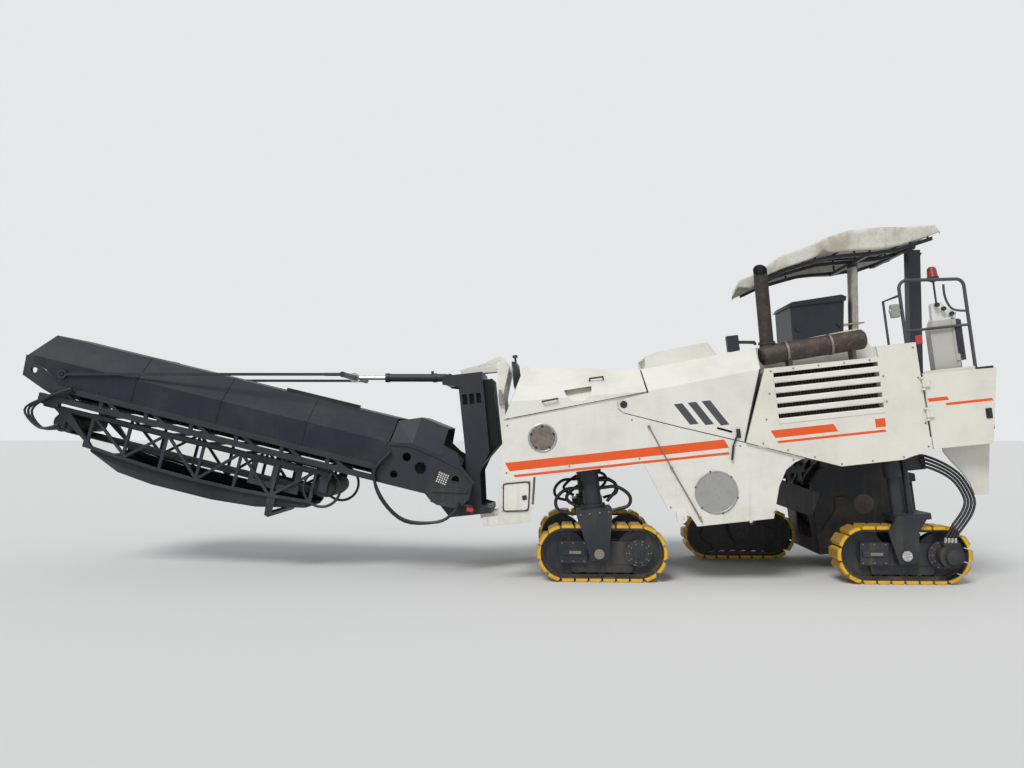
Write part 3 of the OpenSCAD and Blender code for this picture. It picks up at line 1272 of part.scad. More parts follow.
chassis_frame();
front_tank();
left_side_panel();
right_side_panel();
side_covers();
engine_block();
engine_bonnet();
louvre_panel();
radiator_core();
rear_body();
rear_door();
front_hatch();
platform_deck();
cooler_box();
platform_rail();
control_console();
rear_console();
muffler();
exhaust_stack();
canopy_frame();
canopy();
beacon();
drum_housing();
milling_drum();
scraper_blade();
primary_conveyor();
slew_bracket();
slew_mast();
feed_hood();
lift_cylinder_tube();
lift_cylinder_rod();
conveyor_stays();
inner_conveyor_frame();
receiving_hood();
inner_conveyor_cover();
inner_belt();
outer_conveyor_frame();
outer_conveyor_cover();
outer_belt();
conveyor_hoses();
fork_front_left();
track_frame_front_left();
track_front_left();
fork_front_right();
track_frame_front_right();
track_front_right();
fork_rear_left();
track_frame_rear_left();
track_rear_left();
rear_leg_hoses();
swing_leg();
track_frame_rear_right();
track_rear_right();
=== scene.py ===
# %% [markdown]
# # A compact cold planer
# The frame brings every welded, turned and folded part of the machine. This
# lesson gives each of them its finish and adds what a construction model
# leaves out: the cloth roof, seals, handles, lamps, bolts and latches.

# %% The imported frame
import math

import bmesh
import bpy
from mathutils import Matrix, Vector


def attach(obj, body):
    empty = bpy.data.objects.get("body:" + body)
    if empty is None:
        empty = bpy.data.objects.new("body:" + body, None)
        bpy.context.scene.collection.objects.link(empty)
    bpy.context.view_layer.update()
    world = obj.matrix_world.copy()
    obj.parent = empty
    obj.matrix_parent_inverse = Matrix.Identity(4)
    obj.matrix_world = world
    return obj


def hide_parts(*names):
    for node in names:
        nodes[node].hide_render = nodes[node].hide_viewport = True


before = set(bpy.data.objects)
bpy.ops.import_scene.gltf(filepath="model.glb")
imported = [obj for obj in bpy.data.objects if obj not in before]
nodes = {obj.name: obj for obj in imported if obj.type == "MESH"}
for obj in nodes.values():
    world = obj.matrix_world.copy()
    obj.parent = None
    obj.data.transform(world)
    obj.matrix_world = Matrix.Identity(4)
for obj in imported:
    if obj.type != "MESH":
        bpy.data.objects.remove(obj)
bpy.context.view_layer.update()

# %% [markdown]
# The machine stands nose down by six degrees, so its body and its conveyor
# each have a place of their own, and so has the folded outer section. A matrix
# for the body and one for the conveyor let every piece be measured the way a
# fitter would, along the plates.

# %% Places
PITCH = math.radians(6.2)
INCLINE = math.radians(19.8)
FRONT_PIN = (-1.145906, 0.035, 0.288)
CONVEYOR_ROOT = (1.56, 0, 0.69)
CHASSIS = Matrix.Translation(FRONT_PIN) @ Matrix.Rotation(PITCH, 4, "Y")
CONVEYOR = CHASSIS @ Matrix.Translation(CONVEYOR_ROOT) @ Matrix.Rotation(-INCLINE, 4, "Y")
SIDE = 1.0
# Of each track: its pin's x and y in the chassis, its setback, and the way outwards.
TRACKS = {
    "front_left": (0.0, 0.77, 0.032, 1),
    "front_right": (0.0, -0.77, 0.032, -1),
    "rear_left": (-2.985, 0.77, 0.0, 1),
    "rear_right": (-1.75, -0.855, 0.0, -1),
}


def level(x, y, shift=0.0):
    """The level frame of a track whose pin is at x and y in the chassis."""
    pin_x, pin_y, pin_z = FRONT_PIN
    return Matrix.Translation((x / math.cos(PITCH) + pin_x - shift, y + pin_y, pin_z))


print("front left pin at", [round(v, 3) for v in level(0, 0.77).translation])

# %% [markdown]
# The photograph was taken at eye height beside the machine, with a wide lens
# turned a little towards the conveyor. The same stand gives the same
# perspective, which no long lens from further away would.

# %% Camera
lens = bpy.data.cameras.new("photo_camera")
lens.sensor_width = 36
lens.lens = 29.18
stand = (-0.642, 9.355, 1.511)
camera = bpy.data.objects.new("photo_camera", lens)
bpy.context.scene.collection.objects.link(camera)
turn, tilt = math.radians(2.5), math.radians(3.241)
aim = Vector((math.sin(turn) * math.cos(tilt), -math.cos(turn) * math.cos(tilt), math.sin(tilt)))
camera.location = stand
camera.rotation_euler = aim.to_track_quat("-Z", "Y").to_euler()
bpy.context.scene.camera = camera
bpy.context.scene.view_settings.view_transform = "Standard"
print("camera stands", round(stand[1] - SIDE, 2), "m off the left panels")

# %% [markdown]
# ## Node helpers
# A material is easier to read when a node is one line. The helper takes the
# node's settings and its inputs, and an input may be a number or a socket.


# %% Node helpers
def node(tree, kind, settings=None, **inputs):
    """A new node. An input is named by its label or, as i0 or i1, by its place."""
    n = tree.nodes.new("ShaderNode" + kind)
    for key, value in (settings or {}).items():
        setattr(n, key, value)
    for key, value in inputs.items():
        placed = key[0] == "i" and key[1:].isdigit()
        plug = n.inputs[int(key[1:]) if placed else key.replace("_", " ")]
        if isinstance(value, bpy.types.NodeSocket):
            tree.links.new(value, plug)
        else:
            plug.default_value = value
    return n


def calc(tree, operation, a, b=0.0):
    return node(tree, "Math", {"operation": operation}, i0=a, i1=b).outputs[0]


def blend_colour(tree, share, a, b):
    def full(c):
        return c if isinstance(c, bpy.types.NodeSocket) else (*c, 1.0)

    return node(tree, "Mix", {"data_type": "RGBA"}, i0=share, i6=full(a), i7=full(b)).outputs[2]


def ramp(tree, value, low, high, to_low=0.0, to_high=1.0):
    """A soft step from to_low to to_high while the value goes from low to high."""
    return node(
        tree, "MapRange", {"interpolation_type": "SMOOTHSTEP"},
        Value=value, From_Min=low, From_Max=high, To_Min=to_low, To_Max=to_high,
    ).outputs[0]


def new_group(name, inputs, outputs):
    g = bpy.data.node_groups.new(name, "ShaderNodeTree")
    for key, kind in inputs.items():
        g.interface.new_socket(name=key, in_out="INPUT", socket_type="NodeSocket" + kind)
    for key, kind in outputs.items():
        g.interface.new_socket(name=key, in_out="OUTPUT", socket_type="NodeSocket" + kind)
    return g, g.nodes.new("NodeGroupInput"), g.nodes.new("NodeGroupOutput")


def use(tree, group, **inputs):
    n = tree.nodes.new("ShaderNodeGroup")
    n.node_tree = group
    for key, value in inputs.items():
        if isinstance(value, bpy.types.NodeSocket):
            tree.links.new(value, n.inputs[key])
        else:
            n.inputs[key].default_value = value
    return n.outputs


def new_finish(name):
    """An empty material with its tree, its shader and the place on the piece."""
    material = bpy.data.materials.new(name)
    material.use_nodes = True
    tree = material.node_tree
    position = node(tree, "TexCoord").outputs["Object"]
    return material, tree, tree.nodes["Principled BSDF"], position


# %% [markdown]
# ## Weather
# Years on road sites leave four marks on paint: broad faded blotches, dirt
# that ran down with the rain, hair-fine scratches, and a grit that is felt
# more than seen. One group makes all four, so every finish can share them.

# %% Group: weather
weather, wi, wo = new_group(
    "weather", {"Position": "Vector", "Size": "Float"},
    {"Blotches": "Float", "Streaks": "Float", "Scratches": "Float", "Grit": "Float"},
)
scaled = node(weather, "VectorMath", {"operation": "SCALE"}, i0=wi.outputs["Position"])
weather.links.new(wi.outputs["Size"], scaled.inputs["Scale"])
blot = node(weather, "TexNoise", Vector=scaled.outputs[0], Scale=1.9, Detail=6.0, Roughness=0.62)
weather.links.new(ramp(weather, blot.outputs[0], 0.42, 0.72), wo.inputs["Blotches"])
tall = node(weather, "Mapping", Vector=scaled.outputs[0], Scale=(9.0, 9.0, 0.7))
runs = node(weather, "TexNoise", Vector=tall.outputs[0], Scale=1.3, Detail=5.0, Roughness=0.6)
weather.links.new(ramp(weather, runs.outputs[0], 0.5, 0.8), wo.inputs["Streaks"])
thin = node(
    weather, "Mapping", Vector=scaled.outputs[0], Rotation=(0.3, 0.5, 0.2), Scale=(2.2, 3.0, 70.0),
)
hair = node(weather, "TexNoise", Vector=thin.outputs[0], Scale=2.4, Detail=3.0)
weather.links.new(ramp(weather, hair.outputs[0], 0.67, 0.71), wo.inputs["Scratches"])
fine = node(weather, "TexNoise", Vector=wi.outputs["Position"], Scale=240.0, Detail=3.0)
weather.links.new(fine.outputs[0], wo.inputs["Grit"])
print("weather group has", len(weather.nodes), "nodes")

# %% [markdown]
# Paint rubs off first where plates meet the world: on their edges. The Bevel
# node rounds the normal there, and where that round normal leaves the flat
# one, metal shows. The same round normal catches a highlight along the edge.

# %% Group: edges
edges, ei, eo = new_group("edges", {"Radius": "Float"}, {"Normal": "Vector", "Wear": "Float"})
rounded = node(edges, "Bevel", {"samples": 3}, Radius=ei.outputs["Radius"])
flat = edges.nodes.new("ShaderNodeNewGeometry")
facing = node(
    edges, "VectorMath", {"operation": "DOT_PRODUCT"}, i0=rounded.outputs[0],
    i1=flat.outputs["Normal"],
)
edges.links.new(rounded.outputs[0], eo.inputs["Normal"])
turned_away = calc(edges, "SUBTRACT", 1.0, facing.outputs["Value"])
edges.links.new(ramp(edges, turned_away, 0.03, 0.3), eo.inputs["Wear"])
print("edge group rounds with", rounded.samples, "samples")

# %% [markdown]
# Stripes are foil strips along the panels. A mask of four limits in the
# chassis frame keeps them straight along the plates and sharp at their ends,
# where a painted texture would blur.

# %% Group: band
band, bi, bo = new_group(
    "band",
    {
        "Position": "Vector", "Rear": "Float", "Front": "Float", "Low": "Float", "High": "Float",
        "Slant": "Float",
    },
    {"Mask": "Float"},
)
split = node(band, "SeparateXYZ", Vector=bi.outputs["Position"])
rise = calc(band, "SUBTRACT", split.outputs[2], bi.outputs["Low"])
along = calc(band, "SUBTRACT", split.outputs[0], calc(band, "MULTIPLY", rise, bi.outputs["Slant"]))


def within(value, low, high):
    """One between the named inputs of the band group, and nothing outside them."""
    over = calc(band, "GREATER_THAN", value, bi.outputs[low])
    under = calc(band, "LESS_THAN", value, bi.outputs[high])
    return calc(band, "MULTIPLY", over, under)


inside = calc(
    band, "MULTIPLY", within(along, "Rear", "Front"), within(split.outputs[2], "Low", "High"),
)
band.links.new(inside, bo.inputs["Mask"])


def chassis_position(tree, position):
    """Object coordinates turned into the chassis frame."""
    back = tuple(CHASSIS.inverted().translation)
    turned = node(tree, "Mapping", Vector=position, Rotation=(0, -PITCH, 0), Location=back)
    return turned.outputs[0]


print("band group ready")

# %% [markdown]
# ## Painted steel
# All paint is one recipe: a base colour that fades in blotches, foil marks
# over it, dirt that gathers low down and in runs, and bare metal on edges.
# The values change from the cream body to the slate running gear.

# %% Paint recipe
ORANGE = (0.82, 0.088, 0.001)
DUST = (0.30, 0.265, 0.215)


def paint(
    name, base, faded, dirt=DUST, bare=(0.16, 0.14, 0.125), rough=0.4, marks=(), grime=0.35,
    wear=0.5, coat=0.12, shine=0.5,
):
    """Old paint. A mark is its rear, front, low and high limits, its slant and its colour."""
    material, tree, shader, position = new_finish(name)
    seen = use(tree, weather, Position=position, Size=1.0)
    edge = use(tree, edges, Radius=0.004)
    height = node(tree, "SeparateXYZ", Vector=position).outputs[2]
    colour = blend_colour(tree, calc(tree, "MULTIPLY", seen["Blotches"], 0.8), base, faded)
    if marks:
        place = chassis_position(tree, position)
        for rear, front, low, high, slant, tone in marks:
            mask = use(
                tree, band, Position=place, Rear=rear, Front=front, Low=low, High=high, Slant=slant,
            )["Mask"]
            colour = blend_colour(tree, mask, colour, tone)
    low_dirt = ramp(tree, height, 0.1, 1.3, 1.0, 0.12)
    runs_down = calc(tree, "MULTIPLY", seen["Streaks"], low_dirt)
    dirty = calc(tree, "MULTIPLY", runs_down, grime * 2.2)
    film = calc(tree, "MULTIPLY", calc(tree, "MULTIPLY", seen["Blotches"], low_dirt), grime)
    share = calc(tree, "MINIMUM", calc(tree, "ADD", dirty, film), 0.85)
    colour = blend_colour(tree, share, colour, dirt)
    patchy = calc(tree, "ADD", calc(tree, "MULTIPLY", seen["Blotches"], wear), wear * 0.25)
    rubbed = calc(tree, "MULTIPLY", edge["Wear"], patchy)
    scratched = calc(tree, "MULTIPLY", seen["Scratches"], wear * 0.35)
    bared = calc(tree, "MINIMUM", calc(tree, "ADD", rubbed, scratched), 1.0)
    colour = blend_colour(tree, bared, colour, bare)
    bump = node(
        tree, "Bump", Strength=0.12, Distance=0.002, Height=seen["Grit"], Normal=edge["Normal"],
    )
    tree.links.new(colour, shader.inputs["Base Color"])
    tree.links.new(
        calc(tree, "ADD", calc(tree, "MULTIPLY", share, 0.35), rough), shader.inputs["Roughness"],
    )
    tree.links.new(bump.outputs[0], shader.inputs["Normal"])
    shader.inputs["Specular IOR Level"].default_value = shine
    shader.inputs["Coat Weight"].default_value = coat
    shader.inputs["Coat Roughness"].default_value = 0.3
    return material


CREAM = (0.78, 0.765, 0.70)
CREAM_FADED = (0.68, 0.655, 0.575)
WARM = (0.77, 0.74, 0.655)
BAR = (0.055, 0.06, 0.072)
FAR = 9.0
panel_marks = [(-1.39, 0.798, 0.912, 1.0, 0.43, ORANGE), (-1.39, 0.752, 0.846, 0.872, 0.43, ORANGE)]
louvre_marks = [
    (-2.459, -1.844, 0.96, 1.038, 0.51, ORANGE), (-2.922, -2.823, 0.956, 1.041, 0.0, ORANGE),
    (-2.922, -1.868, 0.905, 0.93, 0.51, ORANGE),
]
door_marks = [(-3.56, -3.366, 1.15, 1.186, 0.4, ORANGE), (-3.98, -3.53, 1.098, 1.124, 0.4, ORANGE)]
bonnet_marks = [
    (-1.42 + 0.15 * i, -1.335 + 0.15 * i, 1.14 + 0.02 * i, 1.40, 0.62, BAR)
    for i in range(3)
]
cream = paint("cream_paint", CREAM, CREAM_FADED, grime=0.3)
cream_panel = paint("cream_paint_striped", CREAM, CREAM_FADED, marks=panel_marks, grime=0.32)
cream_louvre = paint("cream_paint_louvre", WARM, CREAM_FADED, marks=louvre_marks, grime=0.3)
cream_door = paint("cream_paint_door", WARM, CREAM_FADED, marks=door_marks, grime=0.25)
cream_bonnet = paint("cream_paint_bars", CREAM, CREAM_FADED, marks=bonnet_marks, grime=0.25)
slate = paint(
    "slate_paint", (0.019, 0.023, 0.031), (0.032, 0.035, 0.041), dirt=(0.10, 0.088, 0.07),
    bare=(0.14, 0.135, 0.13), rough=0.44, grime=0.4, wear=0.6, coat=0.03, shine=0.35,
)
slate_cover = paint(
    "slate_cover", (0.011, 0.014, 0.022), (0.028, 0.031, 0.038), dirt=(0.075, 0.07, 0.065),
    bare=(0.11, 0.11, 0.11), rough=0.48, grime=0.45, wear=0.45, coat=0.0, shine=0.3,
)
slate_drum = paint(
    "slate_drum_box", (0.022, 0.025, 0.031), (0.04, 0.038, 0.036), dirt=(0.15, 0.125, 0.1),
    bare=(0.19, 0.17, 0.15), rough=0.55, grime=0.8, wear=0.9, coat=0.0,
)
slate_rail = paint(
    "slate_rail", (0.055, 0.062, 0.074), (0.075, 0.08, 0.088), rough=0.45, grime=0.35, wear=0.6,
    coat=0.03, shine=0.4,
)
grey_box = paint("grey_box", (0.30, 0.30, 0.285), (0.24, 0.235, 0.22), rough=0.45, grime=0.4)
console_top = 1.948
console_marks = [
    (-FAR, -3.80, 0.0, console_top, 0.0, (0.03, 0.034, 0.042)),
    (-FAR, -3.0, console_top, FAR, 0.0, (0.72, 0.71, 0.665)),
]
console_paint = paint(
    "console_paint", (0.50, 0.49, 0.45), (0.42, 0.405, 0.36), marks=console_marks, grime=0.3,
)
print("paints:", len([m for m in bpy.data.materials if m.use_nodes]))

# %% [markdown]
# ## Bare, rusty and worn metal
# The muffler has lost its paint to heat, the rod is chromed, the round
# covers are brushed sheet, and the drum is polished by what it cuts. Rust is
# two noises over each other: a dark skin and bright bloom.


# %% Metal recipe
def metal(name, base, spots, bloom, metallic, rough, share, brushed=0.0):
    """Bare metal with darker spots and a bloom of rust over a share of it."""
    material, tree, shader, position = new_finish(name)
    seen = use(tree, weather, Position=position, Size=4.0)
    edge = use(tree, edges, Radius=0.003)
    flakes = node(
        tree, "TexNoise", Vector=position, Scale=26.0, Detail=8.0, Roughness=0.68,
    ).outputs[0]
    colour = blend_colour(tree, calc(tree, "MULTIPLY", seen["Blotches"], share), base, spots)
    rusty = calc(tree, "MULTIPLY", ramp(tree, flakes, 0.52, 0.66), share)
    colour = blend_colour(tree, rusty, colour, bloom)
    lines = node(tree, "Mapping", Vector=position, Scale=(160.0, 3.0, 3.0))
    hairs = node(tree, "TexNoise", Vector=lines.outputs[0], Scale=4.0, Detail=3.0).outputs[0]
    height = calc(
        tree, "ADD", calc(tree, "MULTIPLY", flakes, 1.0 - brushed),
        calc(tree, "MULTIPLY", hairs, brushed),
    )
    bump = node(tree, "Bump", Strength=0.25, Distance=0.002, Height=height, Normal=edge["Normal"])
    tree.links.new(colour, shader.inputs["Base Color"])
    tree.links.new(
        calc(tree, "SUBTRACT", metallic, calc(tree, "MULTIPLY", rusty, metallic)),
        shader.inputs["Metallic"],
    )
    tree.links.new(
        calc(tree, "ADD", calc(tree, "MULTIPLY", rusty, 0.4), rough), shader.inputs["Roughness"],
    )
    tree.links.new(bump.outputs[0], shader.inputs["Normal"])
    return material


rust = metal(
    "rusty_steel", (0.055, 0.042, 0.038), (0.10, 0.075, 0.062), (0.19, 0.115, 0.08), 0.25, 0.55,
    share=0.8,
)
strap_metal = metal(
    "strap_steel", (0.28, 0.25, 0.22), (0.2, 0.17, 0.14), (0.2, 0.12, 0.08), 0.6, 0.45, share=0.4,
)
chrome = metal(
    "bare_steel", (0.58, 0.57, 0.53), (0.42, 0.4, 0.36), (0.3, 0.24, 0.18), 0.95, 0.2, share=0.18,
)
post_steel = metal(
    "post_steel", (0.50, 0.48, 0.43), (0.36, 0.34, 0.3), (0.26, 0.2, 0.15), 0.8, 0.32, share=0.35,
)
worn = metal(
    "worn_steel", (0.14, 0.125, 0.115), (0.09, 0.075, 0.065), (0.2, 0.11, 0.07), 0.7, 0.45,
    share=0.6,
)
iron = metal(
    "engine_iron", (0.035, 0.036, 0.04), (0.055, 0.05, 0.045), (0.08, 0.06, 0.045), 0.3, 0.6,
    share=0.5,
)
brushed = metal(
    "brushed_cover", (0.41, 0.41, 0.39), (0.31, 0.29, 0.26), (0.24, 0.19, 0.15), 0.75, 0.38,
    share=0.35, brushed=0.7,
)
soot = metal(
    "sooty_steel", (0.030, 0.024, 0.022), (0.062, 0.045, 0.038), (0.12, 0.07, 0.05), 0.25, 0.6,
    share=0.7,
)


def length_of(tree, a, b):
    """The length of a line that goes a one way and b the other."""
    squares = [calc(tree, "MULTIPLY", side, side) for side in (a, b)]
    return calc(tree, "SQRT", calc(tree, "ADD", *squares))


# Inside the pipe, nearer its axis than the wall, all is black with soot.
MUFFLER_Y, MUFFLER_Z = 0.65, 1.805
STACK_X, STACK_LEAN = -1.975, 0.035
tree = soot.node_tree
place = node(
    tree, "SeparateXYZ", Vector=chassis_position(tree, node(tree, "TexCoord").outputs["Object"]),
)
leaned = calc(tree, "MULTIPLY", calc(tree, "SUBTRACT", place.outputs[2], MUFFLER_Z), STACK_LEAN)
across = calc(tree, "ADD", calc(tree, "ADD", place.outputs[0], -STACK_X), leaned)
beside = calc(tree, "SUBTRACT", place.outputs[1], MUFFLER_Y)
wall = ramp(tree, length_of(tree, across, beside), 0.0655, 0.0680)
shader = tree.nodes["Principled BSDF"]
was = shader.inputs["Base Color"].links[0].from_socket
blackened = blend_colour(tree, wall, (0.004, 0.004, 0.004), was)
tree.links.new(blackened, shader.inputs["Base Color"])

# The roof's front post shines below the cloth; its top under the cloth is painted shade,
# as dark as its other bars, which are painted.
tree = post_steel.node_tree
place = chassis_position(tree, node(tree, "TexCoord").outputs["Object"])
# Outside this band all is dark: painted shade on the front post's top, paint on the other bars.
bright = use(
    tree, band, Position=place, Rear=-3.25, Front=-2.95, Low=1.5, High=2.72, Slant=0.0,
)["Mask"]
shader = tree.nodes["Principled BSDF"]
for plug, dull in (("Base Color", (0.022, 0.026, 0.034)), ("Metallic", 0.0), ("Roughness", 0.45)):
    was = shader.inputs[plug].links[0].from_socket
    if plug == "Base Color":
        tree.links.new(blend_colour(tree, bright, dull, was), shader.inputs[plug])
    else:
        share = calc(tree, "MULTIPLY", calc(tree, "SUBTRACT", was, dull), bright)
        tree.links.new(calc(tree, "ADD", share, dull), shader.inputs[plug])
print("metals: rust, straps, chrome, posts, drum, iron, covers, soot")

# %% [markdown]
# The upper round cover is a perforated screen, brown with road dust, with a
# bright rim. Its holes repeat far too often to be cut, so they are a pattern
# of dark dots, painted shade seen through the holes, that also dips in the bump.

# %% Perforated screen
HOLES_PER_METRE = 80.0
screen, tree, shader, position = new_finish("perforated_screen")
position = chassis_position(tree, position)
tiled = node(tree, "VectorMath", {"operation": "SCALE"}, i0=position, Scale=HOLES_PER_METRE)
grid = node(tree, "VectorMath", {"operation": "FRACTION"}, i0=tiled.outputs[0])
off = node(tree, "VectorMath", {"operation": "SUBTRACT"}, i0=grid.outputs[0], i1=(0.5, 0.5, 0.5))
flat_off = node(
    tree, "VectorMath", {"operation": "MULTIPLY"}, i0=off.outputs[0], i1=(1.0, 0.0, 1.0),
)
far = node(tree, "VectorMath", {"operation": "LENGTH"}, i0=flat_off.outputs[0]).outputs["Value"]
hole = ramp(tree, far, 0.34, 0.26)
dusty = node(tree, "TexNoise", Vector=position, Scale=14.0, Detail=5.0).outputs[0]
plate = blend_colour(tree, ramp(tree, dusty, 0.4, 0.65), (0.27, 0.235, 0.2), (0.19, 0.155, 0.125))
# The dots are painted shade: the dark seen through the holes.
tree.links.new(blend_colour(tree, hole, plate, (0.05, 0.04, 0.035)), shader.inputs["Base Color"])
metal_left = calc(tree, "SUBTRACT", 1.0, hole)
dips = node(tree, "Bump", Strength=0.5, Distance=0.002, Height=metal_left)
tree.links.new(dips.outputs[0], shader.inputs["Normal"])
shader.inputs["Metallic"].default_value = 0.3
shader.inputs["Roughness"].default_value = 0.6
print("screen holes every", 1000 / HOLES_PER_METRE, "mm")

# %% [markdown]
# ## Rubber, belts and hoses
# Rubber greys with chalk and dust. The belts carry the cuttings uphill
# without cleats here, and hoses shine a little more than mats do.


# %% Rubber recipe
def rubber(name, base, chalk, rough, share, size=3.0, depth=0.2):
    """Rubber or plastic that has greyed in patches of the given size."""
    material, tree, shader, position = new_finish(name)
    seen = use(tree, weather, Position=position, Size=size)
    colour = blend_colour(tree, calc(tree, "MULTIPLY", seen["Blotches"], share), base, chalk)
    tree.links.new(colour, shader.inputs["Base Color"])
    tree.links.new(
        calc(tree, "ADD", calc(tree, "MULTIPLY", seen["Blotches"], 0.2), rough),
        shader.inputs["Roughness"],
    )
    skin = node(tree, "Bump", Strength=depth, Distance=0.002, Height=seen["Grit"])
    tree.links.new(skin.outputs[0], shader.inputs["Normal"])
    return material


hood_rubber = rubber("hood_rubber", (0.006, 0.0065, 0.0075), (0.020, 0.020, 0.020), 0.5, 0.6)
hood_rubber.node_tree.nodes["Principled BSDF"].inputs["Specular IOR Level"].default_value = 0.28
belt_rubber = rubber("belt_rubber", (0.02, 0.02, 0.022), (0.09, 0.085, 0.075), 0.7, 0.8)
hose_rubber = rubber("hose_rubber", (0.009, 0.010, 0.013), (0.03, 0.03, 0.032), 0.42, 0.4, 5.0, 0.1)
seal_rubber = rubber("seal_rubber", (0.012, 0.012, 0.013), (0.04, 0.04, 0.04), 0.55, 0.4, 6.0, 0.1)
plastic = rubber("black_plastic", (0.016, 0.017, 0.019), (0.05, 0.05, 0.05), 0.38, 0.35, 6.0, 0.08)
print("rubbers made")

# %% [markdown]
# ## Track shoes
# Yellow pads are bolted to dark steel links. Both are one loop in the frame,
# so the finish asks how far a point lies from the loop's middle line: the
# outer part is yellow, its tread face is brown and scuffed, the rest is
# oily steel.

# %% Group: distance from the loop
loop, li, lo = new_group(
    "loop_distance", {"Position": "Vector", "Centre": "Vector", "Half": "Float"},
    {"Distance": "Float"},
)
moved = node(
    loop, "VectorMath", {"operation": "SUBTRACT"}, i0=li.outputs["Position"],
    i1=li.outputs["Centre"],
)
parts = node(loop, "SeparateXYZ", Vector=moved.outputs[0])
past = calc(
    loop, "MAXIMUM",
    calc(loop, "SUBTRACT", calc(loop, "ABSOLUTE", parts.outputs[0]), li.outputs["Half"]), 0.0,
)
loop.links.new(length_of(loop, past, parts.outputs[2]), lo.inputs["Distance"])
LOOP_HALF = 0.367


def track_finish(name, centre):
    """Yellow pads on oily links, for the loop round the given centre."""
    material, tree, shader, position = new_finish("shoes_" + name)
    far = use(tree, loop, Position=position, Centre=centre, Half=LOOP_HALF)["Distance"]
    seen = use(tree, weather, Position=position, Size=5.0)
    edge = use(tree, edges, Radius=0.003)
    pad = ramp(tree, far, 0.2505, 0.2525)
    tread = ramp(tree, far, 0.270, 0.287)
    yellow = blend_colour(
        tree, calc(tree, "MULTIPLY", seen["Blotches"], 0.6), (0.80, 0.45, 0.006),
        (0.56, 0.29, 0.015),
    )
    steel = blend_colour(tree, seen["Blotches"], (0.05, 0.043, 0.036), (0.13, 0.09, 0.06))
    uneven = calc(tree, "ADD", calc(tree, "MULTIPLY", seen["Streaks"], 0.4), 0.55)
    scuffed = calc(tree, "MULTIPLY", tread, uneven)
    yellow = blend_colour(tree, scuffed, yellow, (0.13, 0.10, 0.075))
    yellow = blend_colour(
        tree, calc(tree, "MULTIPLY", edge["Wear"], 0.6), yellow, (0.16, 0.11, 0.06),
    )
    tree.links.new(blend_colour(tree, pad, steel, yellow), shader.inputs["Base Color"])
    tree.links.new(ramp(tree, seen["Blotches"], 0.0, 1.0, 0.42, 0.75), shader.inputs["Roughness"])
    bump = node(
        tree, "Bump", Strength=0.3, Distance=0.003, Height=seen["Grit"], Normal=edge["Normal"],
    )
    tree.links.new(bump.outputs[0], shader.inputs["Normal"])
    return material


print("loop half length", LOOP_HALF)

# %% [markdown]
# ## Cloth, glass and floor
# The roof is old tarpaulin: cream, stained along its hems and folds. The red
# lens is ribbed and glossy. The floor is plain and pale.

# %% Cloth, lenses and the floor
cloth, tree, shader, position = new_finish("canopy_cloth")
seen = use(tree, weather, Position=position, Size=2.2)
stain = node(tree, "TexNoise", Vector=position, Scale=3.1, Detail=7.0, Roughness=0.65).outputs[0]
warp, weft = [
    node(tree, "TexWave", {"bands_direction": way}, Vector=position, Scale=190.0).outputs["Fac"]
    for way in "XY"
]
tone = blend_colour(tree, ramp(tree, stain, 0.42, 0.7), (0.76, 0.74, 0.665), (0.50, 0.44, 0.34))
patch = node(
    tree, "TexNoise", Vector=position, Scale=17.0, Detail=5.0, Roughness=0.7, Distortion=0.8,
).outputs[0]
tone = blend_colour(
    tree, calc(tree, "MULTIPLY", ramp(tree, patch, 0.5, 0.68), 0.45), tone, (0.50, 0.46, 0.38),
)
tone = blend_colour(tree, calc(tree, "MULTIPLY", seen["Streaks"], 0.3), tone, (0.30, 0.25, 0.18))
tree.links.new(tone, shader.inputs["Base Color"])
folds = node(
    tree, "TexNoise", Vector=position, Scale=7.0, Detail=4.0, Roughness=0.6, Distortion=1.2,
).outputs[0]
weave = calc(tree, "ADD", calc(tree, "MULTIPLY", calc(tree, "ADD", warp, weft), 0.05), folds)
bump = node(tree, "Bump", Strength=0.55, Distance=0.03, Height=weave)
tree.links.new(bump.outputs[0], shader.inputs["Normal"])
shader.inputs["Roughness"].default_value = 0.85
shader.inputs["Sheen Weight"].default_value = 0.2


def lens_finish(name, base, rough, foot=None):
    """A ribbed lens, which is black plastic below the height of its foot, if it has one."""
    material, tree, shader, position = new_finish(name)
    ribs = node(tree, "TexWave", {"bands_direction": "Z"}, Vector=position, Scale=42.0)
    dirt = node(tree, "TexNoise", Vector=position, Scale=12.0, Detail=4.0).outputs[0]
    colour = blend_colour(tree, ramp(tree, dirt, 0.45, 0.8), base, tuple(0.5 * c for c in base))
    if foot is not None:
        up = node(tree, "SeparateXYZ", Vector=chassis_position(tree, position)).outputs[2]
        colour = blend_colour(
            tree, calc(tree, "GREATER_THAN", up, foot), (0.016, 0.017, 0.019), colour,
        )
    tree.links.new(colour, shader.inputs["Base Color"])
    bump = node(tree, "Bump", Strength=0.4, Distance=0.003, Height=ribs.outputs["Fac"])
    tree.links.new(bump.outputs[0], shader.inputs["Normal"])
    shader.inputs["Roughness"].default_value = rough
    shader.inputs["Coat Weight"].default_value = 0.6
    return material


red_lens = lens_finish("red_lens", (0.55, 0.018, 0.014), 0.25)
beacon_lens = lens_finish("beacon_lens", (0.30, 0.010, 0.009), 0.25, foot=2.392)
clear_lens = lens_finish("clear_lens", (0.55, 0.57, 0.58), 0.12)

floor_paint = bpy.data.materials.new("pale_floor")
floor_paint.use_nodes = True
shader = floor_paint.node_tree.nodes["Principled BSDF"]
shader.inputs["Base Color"].default_value = (0.70, 0.70, 0.69, 1)
shader.inputs["Roughness"].default_value = 0.9
print("materials so far:", len(bpy.data.materials))

# %% [markdown]
# ## Light
# A studio's even light: a pale world all round and one broad soft lamp from
# the camera's side, at a level where a colour looks as it is written.

